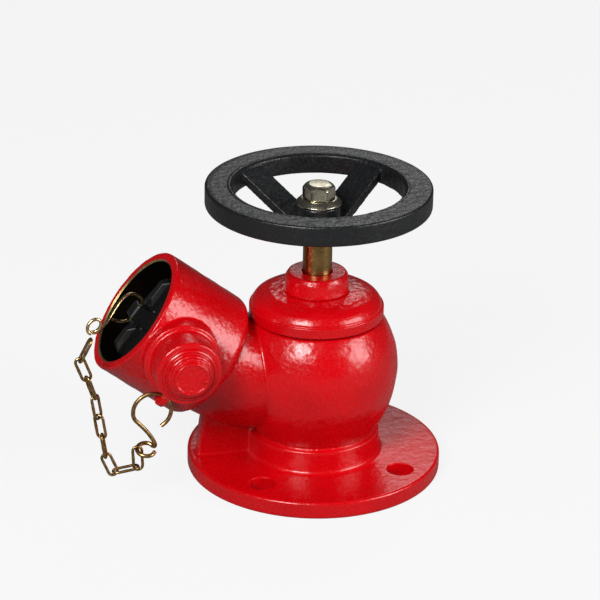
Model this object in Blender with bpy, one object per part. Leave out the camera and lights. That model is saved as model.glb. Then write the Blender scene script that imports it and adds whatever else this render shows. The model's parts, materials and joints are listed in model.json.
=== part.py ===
"""Oblique flanged hydrant valve with an instantaneous outlet, a blank cap and its chain.

The valve stands on its inlet flange: Z is the spindle's axis, z = 0 is the flange's face,
and the outlet branch leans towards -X. Metres throughout.
"""

from math import atan2, cos, hypot, pi, radians, sin, sqrt, tan

import bmesh
import bpy
from mathutils import Matrix, Vector

MM = 0.001
GAP = 0.3 * MM

# Inlet flange, a 65 mm size with four bolt holes
FLANGE_RADIUS = 92.5 * MM
FLANGE_THICKNESS = 12.7 * MM
BOLT_CIRCLE_RADIUS = 72.5 * MM
BOLT_HOLE_RADIUS = 9.5 * MM
BOLT_COUNT = 4
INLET_RADIUS = 32.5 * MM

# Bulb of the body, from its pedestal ring to the face under the bonnet
PEDESTAL_RADIUS = 47.5 * MM
PEDESTAL_TOP = 30.0 * MM
BULB_RADIUS = 59.7 * MM
BULB_WAIST = 81.0 * MM
BODY_TOP = 117.8 * MM
WALL = 7.2 * MM

# Oblique outlet: its axis leaves the spindle's axis at OUTLET_HEIGHT
OUTLET_TILT = radians(37.5)
OUTLET_HEIGHT = 31.2 * MM
BRANCH_RADIUS = 39.5 * MM
BRANCH_HEIGHT = 75.5 * MM
BRANCH_BEND = 22.0 * MM
BRANCH_BORE_RADIUS = 31.0 * MM
BRANCH_END = 97.7 * MM
SPIGOT_RADIUS = 36.0 * MM
SPIGOT_LENGTH = 12.3 * MM
WEB_REACH = 87.0 * MM
WEB_PLACE = 6.0 * MM
WEB_THICKNESS = 10.0 * MM

# Female coupling on the branch, distances along the outlet's axis
CUP_RADIUS = 47.3 * MM
CUP_BORE_RADIUS = 40.7 * MM
CUP_START = BRANCH_END + GAP
CUP_FLOOR = 126.0 * MM
CUP_MOUTH = 167.7 * MM

# Release plunger in the side boss, distances sideways from the outlet's axis
BOSS_ALONG = 138.4 * MM
BOSS_ROOT_RADIUS = 27.0 * MM
BOSS_RIM_RADIUS = 23.0 * MM
BOSS_FACE = 75.8 * MM
KNOB_RADIUS = 19.2 * MM
KNOB_FACE_RADIUS = 11.9 * MM
KNOB_FACE = 85.6 * MM
NOSE_RADIUS = 6.5 * MM
NOSE_TIP = 36.6 * MM
ROD_RADIUS = 5.0 * MM
SPRING_RADIUS = 8.5 * MM
SPRING_WIRE_RADIUS = 0.8 * MM
SPRING_TURNS = 3

# Spindle, its seat and its screwed cover
SEAT_TOP = 43.0 * MM
SEAT_RADIUS = 35.0 * MM
SEAT_BORE_RADIUS = 28.0 * MM
DECK_TOP = 41.0 * MM
DISC_RADIUS = 34.0 * MM
SPINDLE_RADIUS = 10.5 * MM
SPINDLE_NECK_RADIUS = 6.0 * MM
BONNET_RADIUS = 48.5 * MM
BONNET_SHOULDER = 129.5 * MM
BONNET_CROWN = 138.0 * MM
GLAND_ACROSS_FLATS = 45.5 * MM
GLAND_RADIUS = 23.6 * MM
GLAND_TOP = 152.0 * MM

# Handwheel
WHEEL_RADIUS = 80.8 * MM
WHEEL_INNER_RADIUS = 61.0 * MM
WHEEL_TOP = 218.0 * MM
RIM_HEIGHT = 15.2 * MM
HUB_RADIUS = 15.5 * MM
HUB_TOP = 203.5 * MM
HUB_LENGTH = 23.5 * MM
SPOKE_COUNT = 4
SPOKE_WIDTH = 23.0 * MM
SPOKE_ANGLE = radians(38.0)
SPOKE_TOP = 215.0 * MM
SPOKE_SLOPE = 0.546
STEM_SQUARE = 13.0 * MM
STUD_RADIUS = 6.0 * MM
STUD_TOP = HUB_TOP + 9.0 * MM
NUT_ACROSS_FLATS = 20.6 * MM

# Blank cap in the cup, distances along the outlet's axis
CAP_RADIUS = 36.3 * MM
CAP_SEAT = 129.7 * MM
CAP_RIM = 152.0 * MM
CAP_WEB = 147.0 * MM
CAP_BOSS_TOP = 170.0 * MM
CAP_BOSS_WIDTH = 12.0 * MM
CAP_HOLE_ALONG = 166.0 * MM
HOOK_WIRE_RADIUS = 1.1 * MM

# Chain, in a plane in front of the cup
CHAIN_PLANE = -41.0 * MM
CHAIN_WIRE_RADIUS = 1.05 * MM
CHAIN_WIDTH = 9.0 * MM
CHAIN_PITCH = 15.6 * MM
CHAIN_PLAY = 0.4 * MM
S_HOOK_WIRE_RADIUS = 1.5 * MM
S_HOOK_RADIUS = 13.6 * MM
S_HOOK_CENTRE = (-129.05 * MM, 72.98 * MM)
S_HOOK_EYE = (-133.5 * MM, 43.5 * MM)
S_HOOK_EYE_RADIUS = 6.4 * MM
S_HOOK_EYE_TILT = radians(20.0)
EAR_ANGLE = radians(52.5)
EAR_RADIUS = 7.5 * MM
EAR_THICKNESS = 4.5 * MM
EAR_HOLE_RADIUS = 2.2 * MM
# The chain's lie from the hook's eye up to the cap, as degrees in its plane for each link,
# and the turn of each link about its own length
LINK_ANGLES = (-87.0, -173.0, -247.0, -261.0, -261.0, -261.0, -252.0, -249.0, -297.0)
LINK_TWISTS = (0.0, 90.0, 0.0, 72.0, -36.0, 36.0, -72.0, 0.0, 90.0)

WHEEL_STEPS = 48
ROUND = 32
SIDE = 20
SMALL = 16
FINE = 12


def clear_scene():
    for obj in list(bpy.data.objects):
        bpy.data.objects.remove(obj, do_unlink=True)


def principled(name, colour, roughness, metallic):
    material = bpy.data.materials.new(name)
    material.use_nodes = True
    shader = material.node_tree.nodes["Principled BSDF"]
    shader.inputs["Base Color"].default_value = (*colour, 1.0)
    shader.inputs["Roughness"].default_value = roughness
    shader.inputs["Metallic"].default_value = metallic
    material.diffuse_color = (*colour, 1.0)
    return material


def make_materials():
    return {
        "enamel": principled("red_enamel", (0.62, 0.004, 0.008), 0.25, 0.0),
        "black_iron": principled("black_cast_iron", (0.02, 0.02, 0.022), 0.5, 0.0),
        "brass": principled("brass", (0.55, 0.38, 0.16), 0.35, 1.0),
        "bronze": principled("bronze", (0.42, 0.26, 0.12), 0.4, 1.0),
        "steel": principled("plated_steel", (0.5, 0.44, 0.33), 0.3, 1.0),
        "rubber": principled("black_rubber", (0.02, 0.02, 0.02), 0.8, 0.0),
        "packing": principled("graphite_packing", (0.06, 0.06, 0.065), 0.7, 0.0),
        "plastic": principled("black_plastic", (0.012, 0.012, 0.012), 0.4, 0.0),
    }


def frame_empty(name, location, rotation=(0.0, 0.0, 0.0), parent=None):
    empty = bpy.data.objects.new(name, None)
    empty.location = location
    empty.rotation_euler = rotation
    empty.parent = parent
    bpy.context.collection.objects.link(empty)
    return empty


def mesh_object(name, mesh, parent, material):
    """Links a mesh; one with no material is a cutter or a helper, and stays out of renders."""
    obj = bpy.data.objects.new(name, mesh)
    obj.parent = parent
    bpy.context.collection.objects.link(obj)
    if material is None:
        obj.hide_render = True
        obj.display_type = "WIRE"
    else:
        mesh.materials.append(material)
        mesh.shade_smooth()
        mesh.set_sharp_from_angle(angle=radians(35.0))
    return obj


def finish(name, bm, parent, material, placement=None):
    if placement is not None:
        bm.transform(placement)
    bmesh.ops.recalc_face_normals(bm, faces=bm.faces)
    mesh = bpy.data.meshes.new(name)
    bm.to_mesh(mesh)
    bm.free()
    return mesh_object(name, mesh, parent, material)


def turned(name, outline, steps, parent=None, material=None, placement=None):
    """A piece turned about Z from an outline of (radius, height); the outline closes on itself."""
    bm = bmesh.new()
    points = [bm.verts.new((radius, 0.0, height)) for radius, height in outline]
    edges = []
    for start, end in zip(points, points[1:] + points[:1]):
        if start.co.x > 0.0 or end.co.x > 0.0:
            edges.append(bm.edges.new((start, end)))
    bmesh.ops.spin(bm, geom=points + edges, cent=(0, 0, 0), axis=(0, 0, 1),
                   angle=2.0 * pi, steps=steps, use_merge=True)
    bmesh.ops.remove_doubles(bm, verts=bm.verts, dist=0.001 * MM)
    return finish(name, bm, parent, material, placement)


def prism(name, corners, low, high, parent=None, material=None, placement=None):
    """A flat outline of (x, y) carried from one height to another."""
    bm = bmesh.new()
    face = bm.faces.new([bm.verts.new((x, y, low)) for x, y in corners])
    raised = bmesh.ops.extrude_face_region(bm, geom=[face])["geom"]
    tops = [item for item in raised if isinstance(item, bmesh.types.BMVert)]
    bmesh.ops.translate(bm, verts=tops, vec=(0.0, 0.0, high - low))
    return finish(name, bm, parent, material, placement)


def loft(name, rings, parent=None, material=None, placement=None):
    """A solid through rings of the same number of points, with flat ends."""
    bm = bmesh.new()
    loops = [[bm.verts.new(point) for point in ring] for ring in rings]
    count = len(loops[0])
    for lower, upper in zip(loops, loops[1:]):
        for i in range(count):
            j = (i + 1) % count
            bm.faces.new((lower[i], lower[j], upper[j], upper[i]))
    bm.faces.new(list(reversed(loops[0])))
    bm.faces.new(loops[-1])
    return finish(name, bm, parent, material, placement)


def combine(target, other, operation):
    modifier = target.modifiers.new(f"{operation.lower()} {other.name}", "BOOLEAN")
    modifier.operation = operation
    modifier.solver = "EXACT"
    modifier.object = other


def wire(name, points, radius, parent, material, closed=False, sides=1):
    """A round wire along a route, as a bevelled curve with filled ends."""
    curve = bpy.data.curves.new(name, "CURVE")
    curve.dimensions = "3D"
    curve.bevel_depth = radius
    curve.bevel_resolution = sides
    curve.use_fill_caps = True
    spline = curve.splines.new("POLY")
    spline.points.add(len(points) - 1)
    for target, point in zip(spline.points, points):
        target.co = (*point, 1.0)
    spline.use_cyclic_u = closed
    curve.materials.append(material)
    obj = bpy.data.objects.new(name, curve)
    obj.parent = parent
    bpy.context.collection.objects.link(obj)
    return obj


def arc(centre, radius, start, end, steps):
    """Points of (x, y) on an arc between two angles in degrees."""
    angles = [radians(start + (end - start) * i / steps) for i in range(steps + 1)]
    return [(centre[0] + radius * cos(a), centre[1] + radius * sin(a)) for a in angles]


def polygon(sides, circumradius, turn):
    return [(circumradius * cos(turn + 2.0 * pi * i / sides),
             circumradius * sin(turn + 2.0 * pi * i / sides)) for i in range(sides)]


def swell(radius, waist, low, low_radius, high, high_radius, steps):
    """Side of a bulb: two quarter ellipses that meet at the waist and pass the given end radii."""
    below = (waist - low) / sqrt(1.0 - (low_radius / radius) ** 2)
    above = (high - waist) / sqrt(1.0 - (high_radius / radius) ** 2)
    points = []
    for i in range(steps + 1):
        height = low + (high - low) * i / steps
        reach = below if height < waist else above
        points.append((radius * sqrt(1.0 - ((height - waist) / reach) ** 2), height))
    return points


def build_body(outlet, materials):
    edge = 1.0 * MM
    outline = [(0.0, 0.0), (FLANGE_RADIUS - edge, 0.0), (FLANGE_RADIUS, edge),
               (FLANGE_RADIUS, FLANGE_THICKNESS - edge), (FLANGE_RADIUS - edge, FLANGE_THICKNESS)]
    fillet = 2.5 * MM
    outline += [(x, y) for x, y in arc((PEDESTAL_RADIUS + fillet, FLANGE_THICKNESS + fillet),
                                       fillet, 270.0, 180.0, 2)]
    outline += [(PEDESTAL_RADIUS, PEDESTAL_TOP - edge), (PEDESTAL_RADIUS - edge, PEDESTAL_TOP)]
    outline += swell(BULB_RADIUS, BULB_WAIST, PEDESTAL_TOP + 0.6 * MM, PEDESTAL_RADIUS - 4.0 * MM,
                     BODY_TOP, BONNET_RADIUS - 1.2 * MM, 8)
    outline += [(0.0, BODY_TOP)]
    body = turned("valve_body", outline, ROUND, None, materials["enamel"])

    for i in range(BOLT_COUNT):
        angle = pi / BOLT_COUNT + 2.0 * pi * i / BOLT_COUNT
        place = Matrix.Translation((BOLT_CIRCLE_RADIUS * cos(angle), BOLT_CIRCLE_RADIUS * sin(angle), 0.0))
        hole = turned(f"bolt_hole_form_{i + 1}", [(0.0, -MM), (BOLT_HOLE_RADIUS, -MM),
                                                  (BOLT_HOLE_RADIUS, FLANGE_THICKNESS + MM),
                                                  (0.0, FLANGE_THICKNESS + MM)], FINE, None, None, place)
        combine(body, hole, "DIFFERENCE")

    combine(body, elbow("branch_form", BRANCH_RADIUS, 0.0, BRANCH_END, ROUND), "UNION")
    spigot = turned("spigot_form", [(0.0, BRANCH_END - 4.0 * MM), (SPIGOT_RADIUS, BRANCH_END - 4.0 * MM),
                                    (SPIGOT_RADIUS, BRANCH_END + SPIGOT_LENGTH),
                                    (0.0, BRANCH_END + SPIGOT_LENGTH)], ROUND, outlet)
    combine(body, spigot, "UNION")
    combine(body, build_web(), "UNION")

    inner = INLET_RADIUS
    counterbore = SEAT_RADIUS + GAP
    bonnet_bore = 40.3 * MM
    chamber = [(0.0, -1.0 * MM), (inner, -1.0 * MM), (inner, SEAT_TOP - 7.0 * MM),
               (counterbore, SEAT_TOP - 7.0 * MM), (counterbore, DECK_TOP)]
    chamber += swell(BULB_RADIUS - WALL, BULB_WAIST, DECK_TOP, 41.0 * MM, 101.0 * MM, 43.0 * MM, 4)
    chamber += [(bonnet_bore, 101.5 * MM), (bonnet_bore, BODY_TOP + MM), (0.0, BODY_TOP + MM)]
    combine(body, turned("chamber_form", chamber, ROUND), "DIFFERENCE")

    combine(body, elbow("outlet_bore_form", BRANCH_BORE_RADIUS, 30.0 * MM, CUP_FLOOR, SIDE), "DIFFERENCE")


def elbow(name, radius, start, end, steps):
    """A round form that leaves the bulb level at BRANCH_HEIGHT and bends up onto the outlet's axis."""
    corner = (BRANCH_HEIGHT - OUTLET_HEIGHT) / tan(OUTLET_TILT)
    bend = BRANCH_BEND / tan(OUTLET_TILT / 2.0)
    places = [(start, BRANCH_HEIGHT, 0.0)]
    for i in range(5):
        turn = OUTLET_TILT * i / 4
        places.append((corner - BRANCH_BEND + bend * sin(turn), BRANCH_HEIGHT + bend * (1.0 - cos(turn)), turn))
    places.append((end * cos(OUTLET_TILT), OUTLET_HEIGHT + end * sin(OUTLET_TILT), OUTLET_TILT))
    rings = []
    for reach, height, turn in places:
        circle = polygon(steps, radius, pi / steps)
        rings.append([(-reach + up * sin(turn), side, height + up * cos(turn)) for up, side in circle])
    return loft(name, rings)


def build_web():
    """Foot under the branch: an upright block with a drafted far end."""
    low, high = FLANGE_THICKNESS - 2.0 * MM, BRANCH_HEIGHT - BRANCH_RADIUS / 2.0
    rings = []
    for y in (WEB_PLACE + WEB_THICKNESS / 2.0, WEB_PLACE - WEB_THICKNESS / 2.0):
        rings.append([(-WEB_REACH, y, low), (-BULB_RADIUS / 2.0, y, low), (-BULB_RADIUS / 2.0, y, high),
                      (-WEB_REACH + 5.0 * MM, y, high)])
    return loft("web_form", rings)


def build_seat(materials):
    low = SEAT_TOP - 7.0 * MM + GAP
    lip = 1.0 * MM
    turned("seat_ring", [(SEAT_BORE_RADIUS, low), (SEAT_RADIUS, low), (SEAT_RADIUS, SEAT_TOP - 2.0 * lip),
                         (SEAT_RADIUS - 3.0 * lip, SEAT_TOP), (SEAT_BORE_RADIUS + lip, SEAT_TOP),
                         (SEAT_BORE_RADIUS, SEAT_TOP - lip)], ROUND, None, materials["bronze"])


def build_bonnet(materials):
    bore = SPINDLE_RADIUS + GAP
    stuffing = 14.3 * MM
    neck = 17.0 * MM
    spigot = 40.0 * MM
    collar = BODY_TOP + 1.4 * MM
    outline = [(bore, 96.0 * MM), (18.0 * MM, 96.0 * MM), (18.0 * MM, 106.0 * MM), (34.0 * MM, 108.0 * MM),
               (35.0 * MM, 102.0 * MM), (spigot, 102.0 * MM), (spigot, collar),
               (BONNET_RADIUS - 0.8 * MM, collar), (BONNET_RADIUS, collar + 0.8 * MM)]
    outline += arc((BONNET_RADIUS - 3.5 * MM, BONNET_SHOULDER - 3.5 * MM), 3.5 * MM, 0.0, 90.0, 2)
    outline += [(BONNET_RADIUS - 6.0 * MM, BONNET_SHOULDER), (BONNET_RADIUS - 7.2 * MM, BONNET_SHOULDER + 1.4 * MM),
                (30.0 * MM, BONNET_CROWN - 2.2 * MM), (23.0 * MM, BONNET_CROWN), (neck, BONNET_CROWN),
                (neck, BONNET_CROWN + 10.0 * MM), (stuffing, BONNET_CROWN + 10.0 * MM),
                (stuffing, BONNET_CROWN - 12.0 * MM), (bore, BONNET_CROWN - 12.0 * MM)]
    turned("bonnet", outline, ROUND, None, materials["enamel"])
    turned("bonnet_gasket", [(41.0 * MM, BODY_TOP + GAP), (46.0 * MM, BODY_TOP + GAP),
                             (46.0 * MM, collar - GAP), (41.0 * MM, collar - GAP)],
           SIDE, None, materials["rubber"])

    sleeve = stuffing - GAP
    floor = BONNET_CROWN - 12.0 * MM + GAP
    split = BONNET_CROWN + 2.0 * MM
    top = BONNET_CROWN + 11.0 * MM
    turned("gland_packing", [(bore, floor), (sleeve, floor), (sleeve, split), (bore, split)],
           SMALL, None, materials["packing"])
    turned("gland_follower", [(bore, split + GAP), (sleeve, split + GAP), (sleeve, top), (bore, top)],
           SMALL, None, materials["brass"])

    low = BONNET_CROWN + GAP
    ceiling = top + GAP
    corners = polygon(6, GLAND_ACROSS_FLATS / sqrt(3.0), radians(18.0))
    nut = prism("gland_nut", corners, low, GLAND_TOP, None, materials["enamel"])
    chamfer = turned("gland_chamfer_form", [(0.0, low - MM), (GLAND_RADIUS, low - MM),
                                            (GLAND_RADIUS, GLAND_TOP - 9.0 * MM),
                                            (GLAND_RADIUS - 0.9 * MM, GLAND_TOP - 3.2 * MM),
                                            (GLAND_RADIUS - 3.6 * MM, GLAND_TOP), (0.0, GLAND_TOP)], ROUND)
    combine(nut, chamfer, "INTERSECT")
    hollow = turned("gland_bore_form", [(0.0, low - MM), (neck + GAP, low - MM), (neck + GAP, ceiling),
                                        (bore, ceiling), (bore, GLAND_TOP + MM), (0.0, GLAND_TOP + MM)], SIDE)
    combine(nut, hollow, "DIFFERENCE")


def build_disc(materials):
    carrier = frame_empty("disc_axis", (0.0, 0.0, 0.0))
    skirt = SEAT_TOP + 1.6 * MM
    washer_top = SEAT_TOP + 6.0 * MM
    stub = 4.7 * MM
    button = 10.3 * MM
    pocket = 53.7 * MM
    top = 66.0 * MM
    outline = [(0.0, 37.6 * MM), (stub, 37.6 * MM), (stub, washer_top + GAP), (31.3 * MM, washer_top + GAP),
               (31.3 * MM, skirt), (DISC_RADIUS - MM, skirt), (DISC_RADIUS, skirt + MM),
               (DISC_RADIUS, 52.0 * MM), (DISC_RADIUS - 3.0 * MM, 54.5 * MM), (17.0 * MM, 57.0 * MM),
               (15.0 * MM, 59.0 * MM), (15.0 * MM, top), (button, top), (button, pocket), (0.0, pocket)]
    turned("valve_disc", outline, SIDE, carrier, materials["bronze"])
    turned("disc_washer", [(stub + GAP, SEAT_TOP + GAP), (31.0 * MM, SEAT_TOP + GAP),
                           (31.0 * MM, washer_top), (stub + GAP, washer_top)],
           SIDE, carrier, materials["rubber"])
    nut = prism("disc_nut", polygon(6, 9.0 * MM, 0.0), 38.2 * MM, SEAT_TOP, carrier, materials["brass"])
    bore = turned("disc_nut_form", [(0.0, 37.0 * MM), (stub + GAP, 37.0 * MM), (stub + GAP, SEAT_TOP + MM),
                                    (0.0, SEAT_TOP + MM)], FINE, carrier)
    combine(nut, bore, "DIFFERENCE")
    turned("disc_retainer", [(SPINDLE_NECK_RADIUS + GAP, 60.3 * MM), (button - GAP, 60.3 * MM),
                             (button - GAP, top - 0.2 * MM), (SPINDLE_NECK_RADIUS + GAP, top - 0.2 * MM)],
           SMALL, carrier, materials["brass"])


def build_spindle(materials):
    axis = frame_empty("spindle_axis", (0.0, 0.0, 0.0))
    hub_low = HUB_TOP - HUB_LENGTH
    shoulder = hub_low - GAP
    half = STEM_SQUARE / 2.0
    spindle = turned("spindle", [(0.0, 54.0 * MM), (9.0 * MM, 54.0 * MM), (10.0 * MM, 55.0 * MM),
                                 (10.0 * MM, 60.0 * MM), (SPINDLE_NECK_RADIUS, 60.0 * MM),
                                 (SPINDLE_NECK_RADIUS, 70.0 * MM), (SPINDLE_RADIUS - MM, 70.0 * MM),
                                 (SPINDLE_RADIUS, 71.0 * MM), (SPINDLE_RADIUS, shoulder - 0.6 * MM),
                                 (SPINDLE_RADIUS - 0.6 * MM, shoulder), (0.0, shoulder)],
                     SMALL, axis, materials["brass"])
    square = [(half, half), (-half, half), (-half, -half), (half, -half)]
    combine(spindle, prism("stem_square_form", square, shoulder - MM, HUB_TOP - 1.2 * MM, axis), "UNION")
    stud = turned("stem_stud_form", [(0.0, shoulder), (STUD_RADIUS, shoulder), (STUD_RADIUS, STUD_TOP - MM),
                                     (STUD_RADIUS - MM, STUD_TOP), (0.0, STUD_TOP)], FINE, axis)
    combine(spindle, stud, "UNION")
    build_wheel(axis, materials, hub_low)

    washer_low = HUB_TOP + GAP
    washer_top = washer_low + 4.5 * MM
    turned("wheel_washer", [(STUD_RADIUS + GAP, washer_low), (15.8 * MM, washer_low), (16.4 * MM, washer_low + 0.6 * MM),
                            (16.2 * MM, washer_low + 1.8 * MM), (13.2 * MM, washer_top - MM), (12.0 * MM, washer_top),
                            (STUD_RADIUS + GAP, washer_top)], SMALL, axis, materials["steel"])
    nut_low = washer_top + GAP
    nut_top = nut_low + 10.3 * MM
    crown = NUT_ACROSS_FLATS / 2.0
    nut = prism("wheel_nut", polygon(6, NUT_ACROSS_FLATS / sqrt(3.0), radians(-75.3)), nut_low, nut_top,
                axis, materials["steel"])
    dome = turned("nut_dome_form", [(0.0, nut_low - MM), (crown * 1.13, nut_low - MM),
                                    (crown * 1.13, nut_top - 2.6 * MM), (crown * 0.95, nut_top - 0.9 * MM),
                                    (crown * 0.72, nut_top - 0.1 * MM), (0.0, nut_top - 0.1 * MM)], SMALL, axis)
    combine(nut, dome, "INTERSECT")
    bore = turned("nut_bore_form", [(0.0, nut_low - MM), (STUD_RADIUS + GAP, nut_low - MM),
                                    (STUD_RADIUS + GAP, STUD_TOP + 0.5 * MM), (0.0, STUD_TOP + 1.5 * MM)],
                  FINE, axis)
    combine(nut, bore, "DIFFERENCE")


def build_wheel(axis, materials, hub_low):
    low = WHEEL_TOP - RIM_HEIGHT
    inner, outer = WHEEL_INNER_RADIUS, WHEEL_RADIUS
    step = 1.2 * MM
    outline = [(inner + step, low), (outer - step, low), (outer, low + step), (outer, WHEEL_TOP - 2.5 * step),
               (outer - step, WHEEL_TOP - 0.8 * step), (outer - 2.5 * step, WHEEL_TOP), (inner + step, WHEEL_TOP),
               (inner, WHEEL_TOP - step), (inner, low + step)]
    wheel = turned("handwheel", outline, WHEEL_STEPS, axis, materials["black_iron"])
    hub = turned("hub_form", [(0.0, hub_low), (HUB_RADIUS - MM, hub_low), (HUB_RADIUS, hub_low + MM),
                              (HUB_RADIUS, HUB_TOP - MM), (HUB_RADIUS - MM, HUB_TOP), (0.0, HUB_TOP)],
                 SMALL, axis)
    half, rib = SPOKE_WIDTH / 2.0, 7.0 * MM
    for i in range(SPOKE_COUNT):
        rings = []
        for reach in (HUB_RADIUS - 4.0 * MM, inner + 3.0 * MM):
            top = SPOKE_TOP + SPOKE_SLOPE * (reach - inner)
            rings.append([(reach, -half, top - rib), (reach, half, top - rib),
                          (reach, half - MM, top), (reach, -half + MM, top)])
        turn = Matrix.Rotation(SPOKE_ANGLE + 2.0 * pi * i / SPOKE_COUNT, 4, "Z")
        combine(hub, loft(f"spoke_form_{i + 1}", rings, axis, None, turn), "UNION")
    combine(wheel, hub, "UNION")
    half = STEM_SQUARE / 2.0 + GAP
    square = [(half, half), (-half, half), (-half, -half), (half, -half)]
    combine(wheel, prism("wheel_square_form", square, hub_low - MM, HUB_TOP + MM, axis), "DIFFERENCE")


def sideways():
    """Turns +Z to the front (-Y), at the boss's place on the outlet."""
    return Matrix.Translation((0.0, 0.0, BOSS_ALONG)) @ Matrix.Rotation(pi / 2.0, 4, "X")


def build_coupling(outlet, materials):
    corner = 5.0 * MM
    outline = [(0.0, CUP_START), (CUP_RADIUS - corner, CUP_START)]
    outline += arc((CUP_RADIUS - corner, CUP_START + corner), corner, 270.0, 360.0, 3)
    outline += [(CUP_RADIUS, CUP_MOUTH - 0.8 * MM), (CUP_RADIUS - 0.8 * MM, CUP_MOUTH), (0.0, CUP_MOUTH)]
    cup = turned("outlet_coupling", outline, ROUND, outlet, materials["enamel"])
    rim = 1.6 * MM
    boss = turned("boss_form", [(0.0, 30.0 * MM), (BOSS_ROOT_RADIUS, 30.0 * MM),
                                (BOSS_ROOT_RADIUS, CUP_RADIUS - MM), (BOSS_RIM_RADIUS, BOSS_FACE - rim),
                                (BOSS_RIM_RADIUS - rim, BOSS_FACE), (KNOB_RADIUS + GAP, BOSS_FACE),
                                (KNOB_RADIUS + GAP, 70.0 * MM), (14.3 * MM, 70.0 * MM), (14.3 * MM, 52.0 * MM),
                                (0.0, 52.0 * MM)], SIDE, outlet, None, sideways())
    combine(cup, boss, "UNION")
    combine(cup, build_ear(outlet), "UNION")
    combine(cup, turned("cup_bore_form", [(0.0, CUP_START - MM), (SPIGOT_RADIUS + GAP, CUP_START - MM),
                                          (SPIGOT_RADIUS + GAP, BRANCH_END + SPIGOT_LENGTH + GAP),
                                          (BRANCH_BORE_RADIUS, BRANCH_END + SPIGOT_LENGTH + GAP),
                                          (BRANCH_BORE_RADIUS, CUP_FLOOR), (CUP_BORE_RADIUS, CUP_FLOOR),
                                          (CUP_BORE_RADIUS, CUP_MOUTH - MM),
                                          (CUP_BORE_RADIUS + 0.9 * MM, CUP_MOUTH + 0.1 * MM),
                                          (CUP_BORE_RADIUS + 0.9 * MM, CUP_MOUTH + MM),
                                          (0.0, CUP_MOUTH + MM)], ROUND, outlet), "DIFFERENCE")
    bore = turned("plunger_bore_form", [(0.0, 30.0 * MM), (NOSE_RADIUS + GAP, 30.0 * MM),
                                        (NOSE_RADIUS + GAP, 54.0 * MM), (0.0, 54.0 * MM)],
                  SMALL, outlet, None, sideways() @ Matrix.Rotation(radians(4.0), 4, "Z"))
    combine(cup, bore, "DIFFERENCE")
    combine(cup, ear_hole(outlet), "DIFFERENCE")
    turned("coupling_seal", [(BRANCH_BORE_RADIUS + 0.5 * MM, CUP_FLOOR + GAP), (38.0 * MM, CUP_FLOOR + GAP),
                             (38.0 * MM, CAP_SEAT - GAP), (BRANCH_BORE_RADIUS + 0.5 * MM, CAP_SEAT - GAP)],
           SIDE, outlet, materials["rubber"])


def in_outlet_frame(x, y, z):
    """A place in the valve's frame, written in the outlet's own frame."""
    rise = z - OUTLET_HEIGHT
    across = x * sin(OUTLET_TILT) + rise * cos(OUTLET_TILT)
    return (across, y, -x * cos(OUTLET_TILT) + rise * sin(OUTLET_TILT))


def ear_centre():
    return in_outlet_frame(S_HOOK_CENTRE[0] + S_HOOK_RADIUS * cos(EAR_ANGLE), CHAIN_PLANE,
                           S_HOOK_CENTRE[1] + S_HOOK_RADIUS * sin(EAR_ANGLE))


def build_ear(outlet):
    """Ear for the chain's hook: a rounded plate that stands out from the cup, square to its axis."""
    across, side, along = ear_centre()
    outward = atan2(side, across)
    root = 40.0 * MM
    reach = hypot(across, side)
    outline = [(root, -EAR_RADIUS * 1.5), (root, EAR_RADIUS * 1.5)]
    outline[1:1] = arc((reach, 0.0), EAR_RADIUS, -80.0, 80.0, 8)
    place = Matrix.Translation((0.0, 0.0, along)) @ Matrix.Rotation(outward, 4, "Z")
    return prism("ear_form", outline, -EAR_THICKNESS / 2.0, EAR_THICKNESS / 2.0, outlet, None, place)


def ear_hole(outlet):
    across, side, along = ear_centre()
    return turned("ear_hole_form", [(0.0, -EAR_THICKNESS), (EAR_HOLE_RADIUS, -EAR_THICKNESS),
                                    (EAR_HOLE_RADIUS, EAR_THICKNESS), (0.0, EAR_THICKNESS)],
                  FINE, outlet, None, Matrix.Translation((across, side, along)))


def build_release(outlet, materials):
    """The release plunger: nose and rod, its spring, the ring that guides it, and its knob."""
    axis = frame_empty("release_axis", (0.0, 0.0, BOSS_ALONG), (pi / 2.0, 0.0, 0.0), outlet)
    collar_low, collar_top = 52.3 * MM, 54.6 * MM
    ring_low, ring_top = 67.0 * MM, 69.7 * MM
    turned("plunger_front", [(0.0, NOSE_TIP), (NOSE_RADIUS - 1.5 * MM, NOSE_TIP),
                                (NOSE_RADIUS, NOSE_TIP + 1.5 * MM), (NOSE_RADIUS, collar_low),
                                (11.0 * MM, collar_low), (11.0 * MM, collar_top), (ROD_RADIUS, collar_top),
                                (ROD_RADIUS, 78.0 * MM), (0.0, 78.0 * MM)], FINE, axis, materials["brass"])
    turned("guide_ring_front", [(ROD_RADIUS + GAP, ring_low), (14.0 * MM, ring_low), (14.0 * MM, ring_top),
                                   (ROD_RADIUS + GAP, ring_top)], SMALL, axis, materials["brass"])
    coil = []
    low, high = collar_top + GAP + SPRING_WIRE_RADIUS, ring_low - GAP - SPRING_WIRE_RADIUS
    steps = 12 * SPRING_TURNS
    for i in range(steps + 1):
        angle = 2.0 * pi * i / 12
        coil.append((SPRING_RADIUS * cos(angle), SPRING_RADIUS * sin(angle), low + (high - low) * i / steps))
    wire("release_spring_front", coil, SPRING_WIRE_RADIUS, axis, materials["steel"], sides=0)

    skirt = 70.3 * MM
    outline = [(ROD_RADIUS + GAP, skirt), (KNOB_RADIUS - 0.5 * MM, skirt), (KNOB_RADIUS, skirt + 0.5 * MM),
               (KNOB_RADIUS, 77.0 * MM), (17.6 * MM, 79.2 * MM), (16.0 * MM, 79.6 * MM), (15.6 * MM, 81.8 * MM),
               (13.8 * MM, 82.6 * MM), (13.4 * MM, KNOB_FACE - 1.2 * MM), (KNOB_FACE_RADIUS, KNOB_FACE),
               (0.0, KNOB_FACE), (0.0, 78.3 * MM), (ROD_RADIUS + GAP, 78.3 * MM)]
    turned("release_knob_front", outline, SIDE, axis, materials["enamel"])


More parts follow.
